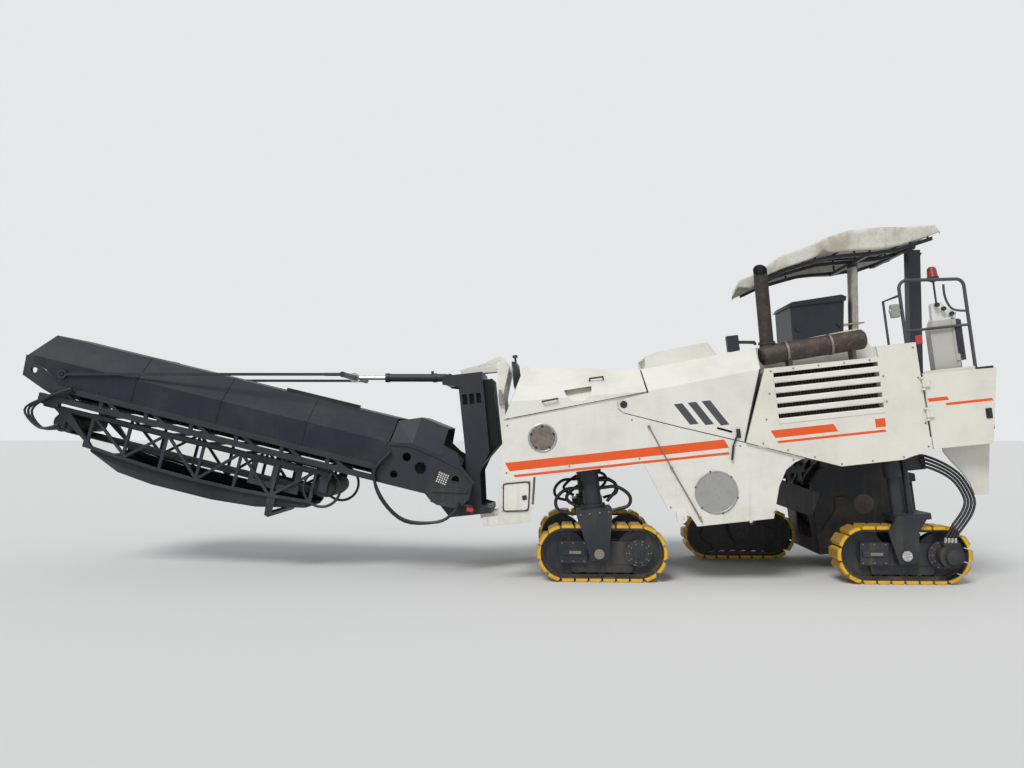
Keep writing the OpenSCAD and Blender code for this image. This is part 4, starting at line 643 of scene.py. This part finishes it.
# %% Floor, world and lamp
bm = bmesh.new()
bmesh.ops.create_grid(bm, x_segments=1, y_segments=1, size=120)
mesh = bpy.data.meshes.new("floor")
bm.to_mesh(mesh)
bm.free()
floor = bpy.data.objects.new("floor", mesh)
bpy.context.scene.collection.objects.link(floor)
floor.data.materials.append(floor_paint)

world = bpy.data.worlds.new("studio")
world.use_nodes = True
bpy.context.scene.world = world
tree = world.node_tree
for n in list(tree.nodes):
    tree.nodes.remove(n)
lit = node(tree, "Background", Color=(0.95, 0.97, 1.0, 1), Strength=0.52)
shown = node(tree, "Background", Color=(0.79, 0.80, 0.81, 1), Strength=1.0)
path = node(tree, "LightPath")
direct = calc(
    tree, "MAXIMUM", path.outputs["Is Camera Ray"],
    calc(tree, "MAXIMUM", path.outputs["Is Glossy Ray"], path.outputs["Is Transmission Ray"]),
)
both = node(tree, "MixShader", i0=direct)
tree.links.new(lit.outputs[0], both.inputs[1])
tree.links.new(shown.outputs[0], both.inputs[2])
tree.links.new(both.outputs[0], node(tree, "OutputWorld").inputs["Surface"])

lamp = bpy.data.lights.new("soft_sun", "SUN")
lamp.energy = 1.9
lamp.angle = math.radians(22)
sun = bpy.data.objects.new("soft_sun", lamp)
sun.rotation_euler = Vector((-0.28, -0.6, -0.75)).to_track_quat("-Z", "Y").to_euler()
bpy.context.scene.collection.objects.link(sun)
print("lamp strength", lamp.energy)

# %% [markdown]
# ## Finishes on the frame's nodes
# Each node of the frame keeps its mesh and gets a finish in its own slot.

# %% Dress the nodes
track_frames = ["track_frame_" + key for key in TRACKS]
finishes = [
    (cream, [
        "front_tank", "right_side_panel", "rear_body", "front_hatch", "cooler_box", "slew_bracket",
    ]),
    (cream_panel, ["left_side_panel"]),
    (cream_louvre, ["louvre_panel"]),
    (cream_door, ["rear_door"]),
    (cream_bonnet, ["engine_bonnet"]),
    (slate, [
        "chassis_frame", "platform_deck", "control_console", "slew_mast", "receiving_hood",
        "conveyor_stays", "fork_front_left", "fork_front_right", "fork_rear_left", "swing_leg",
        "lift_cylinder_tube", "inner_conveyor_frame", "outer_conveyor_frame", *track_frames,
    ]),
    (slate_rail, ["platform_rail"]),
    (slate_cover, ["inner_conveyor_cover", "outer_conveyor_cover"]),
    (slate_drum, ["drum_housing", "scraper_blade", "primary_conveyor"]),
    (rust, ["muffler"]),
    (soot, ["exhaust_stack"]),
    (chrome, ["lift_cylinder_rod"]),
    (post_steel, ["canopy_frame"]),
    (brushed, ["side_covers"]),
    (worn, ["milling_drum"]),
    (iron, ["engine_block", "radiator_core"]),
    (console_paint, ["rear_console"]),
    (hood_rubber, ["feed_hood"]),
    (belt_rubber, ["inner_belt", "outer_belt"]),
    (hose_rubber, ["conveyor_hoses", "rear_leg_hoses"]),
    (beacon_lens, ["beacon"]),
]
dressed = 0
for material, names in finishes:
    for name in names:
        for slot in nodes[name].material_slots:
            slot.material = material
        dressed += 1
for key, (x, y, shift, _) in TRACKS.items():
    finish = track_finish(key, tuple(level(x, y, shift).translation))
    for slot in nodes["track_" + key].material_slots:
        slot.material = finish
    dressed += 1
print("nodes dressed:", dressed)

# %% [markdown]
# ## Piece helpers
# A piece is built in its own frame, moved into place in its mesh, and rides
# on the body that carries it. Small shapes are collected in one mesh.


def put(piece, body, material):
    """Links a piece, lets it ride on its body, and gives it its finish and slot."""
    bpy.context.scene.collection.objects.link(piece)
    piece.data.materials.append(material)
    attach(piece, body)
    return piece


def finish_piece(name, bm, place, body, material, smooth=False):
    bmesh.ops.transform(bm, matrix=place, verts=bm.verts)
    bmesh.ops.recalc_face_normals(bm, faces=bm.faces)
    mesh = bpy.data.meshes.new(name)
    bm.to_mesh(mesh)
    bm.free()
    if smooth:
        mesh.shade_smooth()
    print(name, "has", len(mesh.polygons), "faces")
    return put(bpy.data.objects.new(name, mesh), body, material)


def add_box(bm, low, high, round_by=0.0):
    """A box between two corners, with its edges rounded if asked."""
    size = [h - l for l, h in zip(low, high)]
    made = bmesh.ops.create_cube(bm, size=1.0)["verts"]
    bmesh.ops.scale(bm, vec=size, verts=made)
    bmesh.ops.translate(bm, vec=[(l + h) / 2 for l, h in zip(low, high)], verts=made)
    if round_by:
        sides = list({e for v in made for e in v.link_edges})
        bmesh.ops.bevel(
            bm, geom=sides, offset=round_by, segments=2, profile=0.5, affect="EDGES", material=-1,
        )


def add_rod(bm, a, b, radius, end_radius=None, segments=20):
    """A round bar from a to b, or a cone where its end has a radius of its own."""
    a, b = Vector(a), Vector(b)
    turn = (b - a).to_track_quat("Z", "Y").to_matrix().to_4x4()
    bmesh.ops.create_cone(
        bm, cap_ends=True, segments=segments, radius1=radius,
        radius2=radius if end_radius is None else end_radius,
        depth=(b - a).length, matrix=Matrix.Translation((a + b) / 2) @ turn,
    )


def add_bolt(bm, place, out, radius, height, segments=6):
    """A bolt's head on a plate, a little sunk and a little narrower at its top."""
    place, out = Vector(place), Vector(out)
    add_rod(bm, place - out * 0.0005, place + out * height, radius, radius * 0.92, segments)


def fitting(name, parts, body, material, place=CHASSIS):
    """One small piece, made of boxes, rods and bolts in its body's own frame."""
    bm = bmesh.new()
    for add, *sizes in parts:
        add(bm, *sizes)
    return finish_piece(name, bm, place, body, material)


def bent_rod(name, points, radius, place, body, material, closed=False):
    """A bar, hose or beading that follows points along a smooth curve."""
    curve = bpy.data.curves.new(name, "CURVE")
    curve.dimensions = "3D"
    curve.bevel_depth = radius
    curve.bevel_resolution = 4
    curve.resolution_u = 6
    curve.use_fill_caps = not closed
    line = curve.splines.new("BEZIER")
    line.bezier_points.add(len(points) - 1)
    for knot, p in zip(line.bezier_points, points):
        knot.co = place @ Vector(p)
        knot.handle_left_type = knot.handle_right_type = "AUTO"
    line.use_cyclic_u = closed
    return put(bpy.data.objects.new(name, curve), body, material)


# %% [markdown]
# ## The cloth roof
# The tarpaulin lies over bent bows and hangs down as a wavy valance on both
# sides. It starts as a flat grid: its middle follows the bows and sags
# between them, and its borders turn down. A thin solidify gives it a hem.

# %% Roof bows
# Both lines are seen from the left: each point is its x and its height.
roof_line = [
    (-3.935, 2.915), (-3.89, 2.99), (-3.623, 3.001), (-3.3, 3.032), (-3.012, 3.037),
    (-2.815, 3.001), (-2.572, 2.922), (-2.273, 2.846), (-2.002, 2.70), (-1.811, 2.642),
    (-1.765, 2.575),
]
hem_line = [
    (-3.935, 2.9), (-3.714, 2.842), (-3.517, 2.80), (-3.268, 2.796), (-2.964, 2.806),
    (-2.793, 2.806), (-2.629, 2.78), (-2.333, 2.727), (-2.094, 2.645), (-1.926, 2.53),
    (-1.76, 2.565),
]


def height_on(line, x):
    """The height of a line at x, which ends level in front."""
    for (x0, z0), (x1, z1) in zip(line, line[1:]):
        if x <= x1:
            return z0 + (z1 - z0) * max(0.0, (x - x0) / (x1 - x0))
    return line[-1][1]


LEFT_EDGE, RIGHT_EDGE = 0.548, -0.988
REAR_BOW = -3.86
bows = [(REAR_BOW, REAR_BOW), (-3.24, -3.24), (-2.66, -2.66), (-2.06, -2.34)]


def on_bow(left_x, right_x, y):
    """The point at y on a bow, which is given by its x at both edges of the roof."""
    share = (LEFT_EDGE - y) / (LEFT_EDGE - RIGHT_EDGE)
    x = left_x + (right_x - left_x) * share
    return Vector((x, y, height_on(roof_line, x) - 0.045))


bow_parts = []
bar_ends = (RIGHT_EDGE + 0.05, LEFT_EDGE - 0.05)
for bow in bows:
    bow_parts.append((add_rod, *(on_bow(*bow, y) for y in bar_ends), 0.014))
    for y in (-0.68, 0.0, 0.42):
        top = on_bow(*bow, y)
        foot_z = height_on(hem_line, max(top.x, -3.9)) - 0.02
        bow_parts.append((add_rod, (top.x, y, foot_z), top, 0.011))
for y in bar_ends:
    for one, other in zip(bows, bows[1:]):
        bow_parts.append((add_rod, on_bow(*one, y), on_bow(*other, y), 0.012))
fitting("canopy_bows", bow_parts, "machine", slate)

# %% Cloth
RUN, ACROSS = 84, 64
SKIRT = 0.2
FRONT_SKEW, SKEW_FROM, SKEW_OVER = 0.30, -2.45, 0.685
LIP_TOP = 2.642
NOTCH_X, NOTCH_WIDE, NOTCH_HIGH = -2.72, 0.05, 0.05
HEM_ROUND = 0.012
BOW_STEP = 0.6
flat_top = LEFT_EDGE - RIGHT_EDGE
span = flat_top + 2 * SKIRT
lengths = [math.dist(a, b) for a, b in zip(roof_line, roof_line[1:])]
whole = sum(lengths)


def clamped(value):
    return min(1.0, max(0.0, value))


def along_roof(run):
    """The x and height where the roof line has run so far from its rear end."""
    k = 0
    while k < len(lengths) - 1 and run > lengths[k]:
        run -= lengths[k]
        k += 1
    f = run / lengths[k]
    return [a + (b - a) * f for a, b in zip(roof_line[k], roof_line[k + 1])]


def hanging(x, top, q):
    """The side that hangs from the left edge, where q is negative, or from the right one."""
    left = q < 0
    wave = math.sin(7.3 * x) * 0.7 + math.sin(13.1 * x + 1.3) * 0.3
    lifted = NOTCH_HIGH * math.exp(-(((x - NOTCH_X) / NOTCH_WIDE) ** 2)) if left else 0.0
    down = (-q if left else q - flat_top) / SKIRT
    deep = max(0.03, top - height_on(hem_line, x) - HEM_ROUND - lifted + 0.009 * wave)
    inwards = HEM_ROUND * (1 - wave) * down
    y = LEFT_EDGE - inwards if left else RIGHT_EDGE + inwards
    return y, top - HEM_ROUND - deep * down


def lying(x, top, q):
    """The middle, which sags between the bows and ripples a little."""
    y = LEFT_EDGE - q
    edge_in = min(q, flat_top - q)
    droop = HEM_ROUND * math.exp(-edge_in / 0.05)
    between = abs(math.sin(math.pi * (x - REAR_BOW) / BOW_STEP))
    uneven = 0.7 + 0.3 * math.sin(5.1 * y + 2.0 * x)
    sag = 0.014 * between * min(1.0, edge_in / 0.15) * uneven
    ripple = 0.003 * math.sin(23 * x + 9 * y) * math.sin(11 * y - 4 * x)
    return y, top - droop - sag + ripple


bm = bmesh.new()
bmesh.ops.create_grid(bm, x_segments=RUN, y_segments=ACROSS, size=1.0)
for v in bm.verts:
    x, top = along_roof((v.co.x + 1) / 2 * whole)
    q = (v.co.y + 1) / 2 * span - SKIRT
    share = clamped(q / flat_top) * clamped((x - SKEW_FROM) / SKEW_OVER)
    if share:
        lip = max(0.0, LIP_TOP - top) * min(1.0, 6 * share)
        x -= FRONT_SKEW * share
        top = height_on(roof_line, x) - lip
    y, z = lying(x, top, q) if 0 <= q <= flat_top else hanging(x, top, q)
    v.co = (x, y, z)
cloth_area = sum(f.calc_area() for f in bm.faces)
canopy = finish_piece("canopy_sheet", bm, CHASSIS, "machine", cloth, smooth=True)
thick = canopy.modifiers.new("hem", "SOLIDIFY")
thick.thickness = 0.003
thick.offset = -1
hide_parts("canopy")
print("cloth area", round(cloth_area, 2), "m2, flat length", round(whole, 2))

# %% [markdown]
# ## Engine end
# Each strap of the muffler is pulled tight by a bolt through two ears on the
# far side, and a rubber seal follows the bonnet's rear edge where it meets
# the louvre panel.

# %% Muffler straps
STRAP_RADIUS = 0.1092
BOLT_Y = -0.124
muffler_axis = Matrix.Translation((-1.895, MUFFLER_Y, MUFFLER_Z)) @ Matrix.Rotation(
    math.radians(-87), 4, "Y",
)
bm = bmesh.new()
for u in (0.27, 0.72):
    made = bmesh.ops.create_cone(
        bm, cap_ends=False, segments=56, radius1=STRAP_RADIUS, radius2=STRAP_RADIUS, depth=0.022,
        matrix=Matrix.Translation((0, 0, u)),
    )["verts"]
    bmesh.ops.solidify(bm, geom=list({f for v in made for f in v.link_faces}), thickness=0.0015)
    for ear in (-0.012, 0.012):
        add_box(bm, (ear - 0.0025, -0.137, u - 0.013), (ear + 0.0025, -0.104, u + 0.013), 0.001)
    for x0, x1, radius, segments in (
        (-0.026, 0.026, 0.0055, 12), (-0.026, -0.019, 0.01, 6), (0.019, 0.026, 0.01, 6),
    ):
        add_rod(bm, (x0, BOLT_Y, u), (x1, BOLT_Y, u), radius, segments=segments)
finish_piece("muffler_straps", bm, CHASSIS @ muffler_axis, "machine", strap_metal)

# %% Bonnet seal, latch and pins
bent_rod(
    "bonnet_seal",
    [(-1.55, 1.012, 0.962), (-1.60, 1.012, 1.115), (-1.70, 1.012, 1.41), (-1.785, 1.011, 1.655)],
    0.007, CHASSIS, "bonnet", seal_rubber,
)
fitting("bonnet_latch", [
    (add_box, (-1.515, 1.009, 1.0), (-1.475, 1.026, 1.09), 0.004),
    (add_rod, (-1.495, 1.02, 1.06), (-1.43, 1.02, 0.93), 0.008),
    (add_rod, (-1.43, 1.02, 0.93), (-1.40, 1.02, 0.79), 0.011),
], "bonnet", slate)
PIN_X, PIN_Z, SKIN = -0.406, 1.452, 0.0085
pin_parts = []
for s in (1, -1):
    for height, radius, segments in ((0.005, 0.036, 40), (0.010, 0.014, 6)):
        foot, end = [(PIN_X, s * (SIDE + SKIN + up), PIN_Z) for up in (0, height)]
        pin_parts.append((add_rod, foot, end, radius, None, segments))
fitting("bonnet_pins", pin_parts, "bonnet", plastic)

# %% Sensor box on the bonnet
# A ray straight down finds the sheet that the bracket stands on.
bonnet = nodes["engine_bonnet"]
above = bonnet.matrix_world.inverted() @ CHASSIS @ Vector((-1.64, 0.60, 2.3))
hit, spot, _, _ = bonnet.ray_cast(above, Vector((0, 0, -1)))
assert hit, "the bracket stands beside the bonnet"
stand_z = (CHASSIS.inverted() @ (bonnet.matrix_world @ spot)).z
fitting("sensor_box", [
    (add_box, (-1.70, 0.575, 1.885), (-1.578, 0.65, 2.05), 0.008),
    (add_rod, (-1.64, 0.61, stand_z - 0.002), (-1.64, 0.61, 1.89), 0.013),
    (add_box, (-1.675, 0.58, stand_z - 0.001), (-1.605, 0.64, stand_z + 0.008), 0.002),
], "bonnet", slate)
fitting("sensor_arm", [
    (add_rod, (-1.70, 0.61, 1.975), (-1.868, 0.61, 1.955), 0.017),
    (add_rod, (-1.868, 0.61, 1.955), (-1.872, 0.61, 1.925), 0.014, None, 12),
], "bonnet", plastic)
print("bonnet sheet under the sensor at", round(stand_z, 3))

# %% Hood handles
# Of each handle: the feet of its two legs, and the way out of the plate.
bm = bmesh.new()
for a, b, out in (
    ((0.397, SIDE, 1.569), (0.241, SIDE, 1.582), (0, 1, 0)),
    ((-0.102, 0.832, 1.730), (-0.250, 0.821, 1.734), (0, 0.68, 0.73)),
):
    a, b, out = Vector(a), Vector(b), Vector(out)
    along = (b - a).normalized() * 0.012
    add_rod(bm, a - out * 0.002, a + out * 0.034 + along, 0.008)
    add_rod(bm, b - out * 0.002, b + out * 0.034 - along, 0.008)
    add_rod(bm, a + out * 0.034, b + out * 0.034, 0.009)
finish_piece("hood_handles", bm, CHASSIS, "machine", plastic)

# %% [markdown]
# ## Left side
# The hatch sits in a rubber frame, a thin rod links the two levers, and dark
# screws hold both round covers. Dome screws run round the louvres.

# %% Hatch frame and latch
hatch_loop = [
    (0.874, 0.792), (0.902, 0.526), (0.680, 0.508), (0.652, 0.518), (0.612, 0.770), (0.630, 0.790),
]
bm = bmesh.new()
ring = [bm.verts.new((x, 0, z)) for x, z in hatch_loop]
bm.faces.new(ring)
bmesh.ops.bevel(
    bm, geom=ring, offset=0.022, segments=5, profile=0.5, affect="VERTICES", material=-1,
)
bm.faces.ensure_lookup_table()
hatch_corners = [(v.co.x, SIDE + SKIN, v.co.z) for v in bm.faces[0].verts]
bm.free()
bent_rod(
    "hatch_frame", hatch_corners, 0.0065, CHASSIS, "front_hatch", seal_rubber, closed=True,
)
fitting("hatch_latch", [
    (add_box, (0.655, SIDE + 0.006, 0.615), (0.70, SIDE + 0.014, 0.66), 0.003),
    (add_rod, (0.677, SIDE + 0.006, 0.638), (0.677, SIDE + 0.02, 0.638), 0.012),
], "front_hatch", plastic)

# %% Linkage rod
ROD_OUT = SIDE + 0.016
elbow = (-0.802, ROD_OUT, 0.777)
fitting("side_linkage", [
    (add_rod, (-0.629, ROD_OUT, 1.205), elbow, 0.006),
    (add_rod, elbow, (-1.04, ROD_OUT, 0.214), 0.007),
    *(
        (add_rod, (x, SIDE, z), (x, SIDE + 0.026, z), 0.014, None, 16)
        for x, z in ((-0.629, 1.205), (-0.802, 0.777), (-1.02, 0.262))
    ),
], "machine", strap_metal)

# %% Cover screws
# Of each cover: its middle, the ring of its screws, the first one's angle, their number.
UPPER_COVER = (0.434, 1.207)
bm = bmesh.new()
for (centre_x, centre_z), ring, first, count in (
    ((-1.214, 0.49), 0.207, 20, 6), (UPPER_COVER, 0.117, 95, 5),
):
    for i in range(count):
        a = math.radians(first + 360 / count * i)
        x, z = centre_x + ring * math.cos(a), centre_z + ring * math.sin(a)
        add_rod(bm, (x, SIDE + 0.003, z), (x, SIDE + 0.0085, z), 0.0125, segments=20)
        add_rod(bm, (x, SIDE + 0.008, z), (x, SIDE + 0.013, z), 0.007, segments=6)
finish_piece("cover_screws", bm, CHASSIS, "machine", plastic)

# %% Screen in the upper cover
upright = Matrix.Rotation(-math.pi / 2, 4, "X")
on_cover = Matrix.Translation((UPPER_COVER[0], SIDE + 0.0047, UPPER_COVER[1]))
bm = bmesh.new()
bmesh.ops.create_circle(bm, cap_ends=True, segments=64, radius=0.125, matrix=on_cover @ upright)
made = bmesh.ops.extrude_face_region(bm, geom=bm.faces[:])["geom"]
front = [g for g in made if isinstance(g, bmesh.types.BMVert)]
bmesh.ops.translate(bm, vec=(0, 0.0012, 0), verts=front)
finish_piece("screen_plate", bm, CHASSIS, "machine", screen)

# %% Dome screws of the louvre panel and the plates
on_louvres = [
    (-1.88, 1.62), (-2.1, 1.625), (-2.35, 1.625), (-2.6, 1.622), (-2.85, 1.622), (-2.96, 1.45),
    (-2.96, 1.2), (-3.28, 1.70), (-3.29, 1.4), (-3.3, 0.95), (-3.3, 0.72), (-3.05, 0.645),
    (-2.75, 0.64), (-2.45, 0.64), (-2.2, 0.735), (-1.95, 0.83), (-1.72, 0.92), (-1.84, 1.4),
    (-1.78, 1.15),
]
on_plates = [
    (-0.47, 1.29), (0.77, 1.37), (0.83, 0.9), (-0.5, 0.9), (-0.75, 0.39), (-1.75, 0.24),
    (-2.0, 0.73), (-1.5, 0.92), (0.2, 0.9),
]
bm = bmesh.new()
for out, screws in ((SIDE + 0.03, on_louvres), (SIDE, on_plates)):
    for x, z in screws:
        add_bolt(bm, (x, out, z), (0, 1, 0), 0.009, 0.005, 12)
finish_piece("dome_screws", bm, CHASSIS, "machine", strap_metal)

# %% Door latch and handle
fitting("door_latch", [
    (add_box, (-3.95, SIDE + 0.024, 0.93), (-3.89, SIDE + 0.036, 1.03), 0.004),
    (add_box, (-3.935, SIDE + 0.034, 0.95), (-3.905, SIDE + 0.05, 1.01), 0.004),
    (add_box, (-3.40, SIDE + 0.024, 1.325), (-3.365, SIDE + 0.034, 1.36), 0.003),
], "rear_door", plastic)

# %% [markdown]
# ## Running gear
# Final drives and tensioners are held by rings of bolts. One ring is a few
# hexagons, turned round the axle with a spin of their places.

# %% Track frame bolts and caps
# Of each ring on the drive: its radius, how far out it stands, and its bolts' radius.
drive_rings = ((0.121, 0.111, 0.008), (0.094, 0.123, 0.007))
for key, (x, y, shift, s) in TRACKS.items():
    bm = bmesh.new()
    for i in range(10):
        a = math.tau * i / 10
        for r, out, size in drive_rings:
            spot = (-LOOP_HALF + r * math.cos(a), s * out, r * math.sin(a))
            add_bolt(bm, spot, (0, s, 0), size, 0.006)
    for px, pz in (
        (0.18, -0.08), (0.18, 0.1), (0.40, -0.08), (0.40, 0.1), (0.29, 0.1), (0.29, -0.08),
    ):
        add_bolt(bm, (px, s * 0.118, pz), (0, s, 0), 0.008, 0.006)
    plate_y = s * 0.1275
    add_box(bm, (0.21, plate_y - 0.0001, -0.006), (0.33, plate_y + 0.0035, 0.022), 0.001)
    finish_piece("drive_bolts_" + key, bm, level(x, y, shift), "leg_" + key, strap_metal)

# %% Pin caps and fork bolts
for key, (x, y, _, s) in TRACKS.items():
    pin_z = x * math.tan(PITCH)
    cap = y + s * 0.19
    face = cap + s * 0.004
    bm = bmesh.new()
    add_rod(bm, (x, cap - s * 0.001, pin_z), (x, face, pin_z), 0.05, segments=40)
    for i in range(6):
        a = math.tau * i / 6
        spot = (x + 0.036 * math.cos(a), face, pin_z + 0.036 * math.sin(a))
        add_bolt(bm, spot, (0, s, 0), 0.006, 0.005)
    if key.startswith("front"):
        for dx in (-0.14, -0.05, 0.05, 0.14):
            add_bolt(bm, (x + dx, y + s * 0.18, pin_z + 0.405), (0, s, 0), 0.011, 0.009)
    cap_metal = chrome if key == "rear_left" else strap_metal
    finish_piece("pin_caps_" + key, bm, CHASSIS, "leg_" + key, cap_metal)

# %% [markdown]
# The motors in the front tracks get their oil through hoses beside the
# columns. They leave a collar on the column and loop down to the fork's
# crown, so they turn with the leg and never wind up.

# %% Front leg hoses
front_loops = [
    [(-0.091, 0.720), (-0.217, 0.695), (-0.257, 0.633), (-0.147, 0.493)],
    [(-0.088, 0.640), (-0.290, 0.618), (-0.378, 0.469), (-0.200, 0.400)],
    [(0.091, 0.700), (0.222, 0.623), (0.258, 0.571), (0.150, 0.470)],
    [(0.088, 0.660), (0.300, 0.640), (0.373, 0.500), (0.205, 0.400)],
]
for key in ("front_left", "front_right"):
    x, y, _, s = TRACKS[key]
    for i, loop_points in enumerate(front_loops):
        out = y + s * (0.045 if i % 2 else -0.02)
        points = [(px, y if k == 0 else out, pz) for k, (px, pz) in enumerate(loop_points)]
        hose = f"front_hose_{key}_{i}"
        bent_rod(hose, points, 0.0175, CHASSIS, "leg_" + key, hose_rubber)
print("front leg hoses:", 2 * len(front_loops))

# %% [markdown]
# ## Lamps and small fittings
# A round work lamp looks down the conveyor, the red tail lamps sit at the
# conveyor's root, and knobs and a red reflector mark the platform.

# %% Work lamp
# The lamp is a deep bowl, seen from its side in the photograph.
LAMP_Y, LAMP_Z = 0.45, 1.90
bowl = [
    (0.600, 0.622, 0.095, 0.135), (0.622, 0.662, 0.135, 0.150), (0.662, 0.676, 0.155, 0.155),
]
fitting("work_lamp", [
    *(
        (add_rod, (rear, LAMP_Y, LAMP_Z), (front, LAMP_Y, LAMP_Z), narrow, wide, 48)
        for rear, front, narrow, wide in bowl
    ),
    (add_rod, (0.630, LAMP_Y, 1.70), (0.630, LAMP_Y, 1.77), 0.014),
    (add_box, (0.60, 0.41, 1.690), (0.66, 0.49, 1.708), 0.004),
    (add_rod, (0.635, LAMP_Y, 2.04), (0.635, LAMP_Y, 2.09), 0.012),
    (add_rod, (0.635, LAMP_Y, 2.088), (0.635, LAMP_Y, 2.115), 0.030, 0.026, 20),
], "machine", plastic)
fitting("work_lamp_lens", [
    (add_rod, (0.675, LAMP_Y, LAMP_Z), (0.683, LAMP_Y, LAMP_Z), 0.140, 0.125, 48),
], "machine", clear_lens)

# %% Switch box and tail lamps
fitting("bracket_switch_box", [
    (add_box, (0.806, 0.52, 1.60), (0.852, 0.56, 1.72), 0.006),
    (add_rod, (0.83, 0.54, 1.72), (0.83, 0.54, 1.76), 0.012),
], "machine", grey_box)
LAMP_INNER, LAMP_OUTER = 0.47, 0.53
fitting("tail_lamp_arms", [
    (add_box, (-0.34, low, -0.03), (-0.19, high, -0.005), 0.004)
    for low, high in ((LAMP_INNER, LAMP_OUTER), (-LAMP_OUTER, -LAMP_INNER))
], "inner_conveyor", slate, CONVEYOR)
fitting("tail_lamps", [
    (add_box, (-0.355, low, -0.075), (-0.275, low + 0.06, -0.03), 0.008)
    for low in (LAMP_INNER, -LAMP_OUTER)
], "inner_conveyor", red_lens, CONVEYOR)

# %% Light squares on the conveyor's root
# An inset parts the squares from each other, and its rims are deleted.
PATCH_HALF, PATCH_ROWS, PATCH_INSET = 0.06, 5, 0.0065
bm = bmesh.new()
bmesh.ops.create_grid(bm, x_segments=PATCH_ROWS, y_segments=PATCH_ROWS, size=PATCH_HALF)
rims = bmesh.ops.inset_individual(bm, faces=bm.faces[:], thickness=PATCH_INSET)["faces"]
bmesh.ops.delete(bm, geom=rims, context="FACES")
bmesh.ops.solidify(bm, geom=bm.faces[:], thickness=0.004)
turned = Matrix.Translation((0.045, 0.552, 0.20)) @ Matrix.Rotation(
    math.radians(-8), 4, "Y",
) @ Matrix.Rotation(math.radians(90), 4, "X")
finish_piece("guard_plate", bm, CONVEYOR @ turned, "inner_conveyor", cream)

# %% Knobs and handles on the platform
fitting("platform_knobs", [
    *(
        (add_rod, (x, 0.874, z), (x, 0.90, z), 0.024, 0.02, 24)
        for x, z in ((-3.64, 2.105), (-3.70, 2.06), (-3.77, 2.0))
    ),
    (add_box, (-3.83, 0.88, 1.60), (-3.78, 0.892, 1.88), 0.003),
], "machine", plastic)
fitting("rail_reflector", [
    (add_box, (-3.44, 0.882, 1.73), (-3.38, 0.912, 1.82), 0.006),
], "machine", red_lens)
fitting("rail_lamp", [
    (add_box, (-3.255, 0.872, 2.02), (-3.165, 0.928, 2.155), 0.012),
    (add_rod, (-3.23, 0.90, 2.09), (-3.281, 0.90, 2.09), 0.010),
], "machine", grey_box)
fitting("rail_lamp_lens", [
    (add_rod, (-3.166, 0.90, 2.088), (-3.158, 0.90, 2.088), 0.025, 0.022, 32),
], "machine", clear_lens)
deck = nodes["platform_deck"].data.vertices
deck_top = Vector((-4.6, 0.9, max(v.co.z for v in deck)))
deck_high = min(1.455, (CHASSIS.inverted() @ deck_top).z)
fitting("deck_strip", [
    (add_box, (-3.883, 0.9595, 1.405), (-3.388, 0.964, deck_high), 0.001),
], "machine", cream)
BEACON = (-3.666, 0.815)
fitting("beacon_foot", [
    (add_rod, (*BEACON, 2.362), (*BEACON, 2.396), 0.058, 0.058, 40),
    (add_rod, (*BEACON, 2.345), (*BEACON, 2.364), 0.02, 0.05, 24),
], "machine", plastic)

# %% [markdown]
# ## Conveyor details
# Rows of bolts join the flanges of the cover's plates, and a longer row
# follows the seam between the cover and the frame below it.

# %% Cover bolts
bm = bmesh.new()
for s in (1, -1):
    for u in (0.71, 1.62, 2.58, 3.54):
        side = 0.5505 if u < 1 else 0.555
        for k in range(6):
            add_bolt(bm, (u, s * side, 0.21 + 0.042 * k), (0, s, 0), 0.008, 0.005)
    for k in range(18):
        add_bolt(bm, (0.9 + 0.2 * k, s * 0.551, 0.20), (0, s, 0), 0.007, 0.005)
finish_piece("cover_bolts", bm, CONVEYOR, "inner_conveyor", slate)

# %% Hose fittings on the rear drive
drive_fittings = []
for k in range(4):
    x = -0.374 - 0.032 * k
    for low, high, radius, segments in ((0.1295, 0.15, 0.0155, 6), (0.149, 0.178, 0.0145, 20)):
        drive_fittings.append((add_rod, (x, 0.177, low), (x, 0.177, high), radius, None, segments))
rear_x, rear_y, rear_shift, _ = TRACKS["rear_left"]
rear_drive = level(rear_x, rear_y, rear_shift)
fitting("drive_fittings", drive_fittings, "leg_rear_left", chrome, rear_drive)
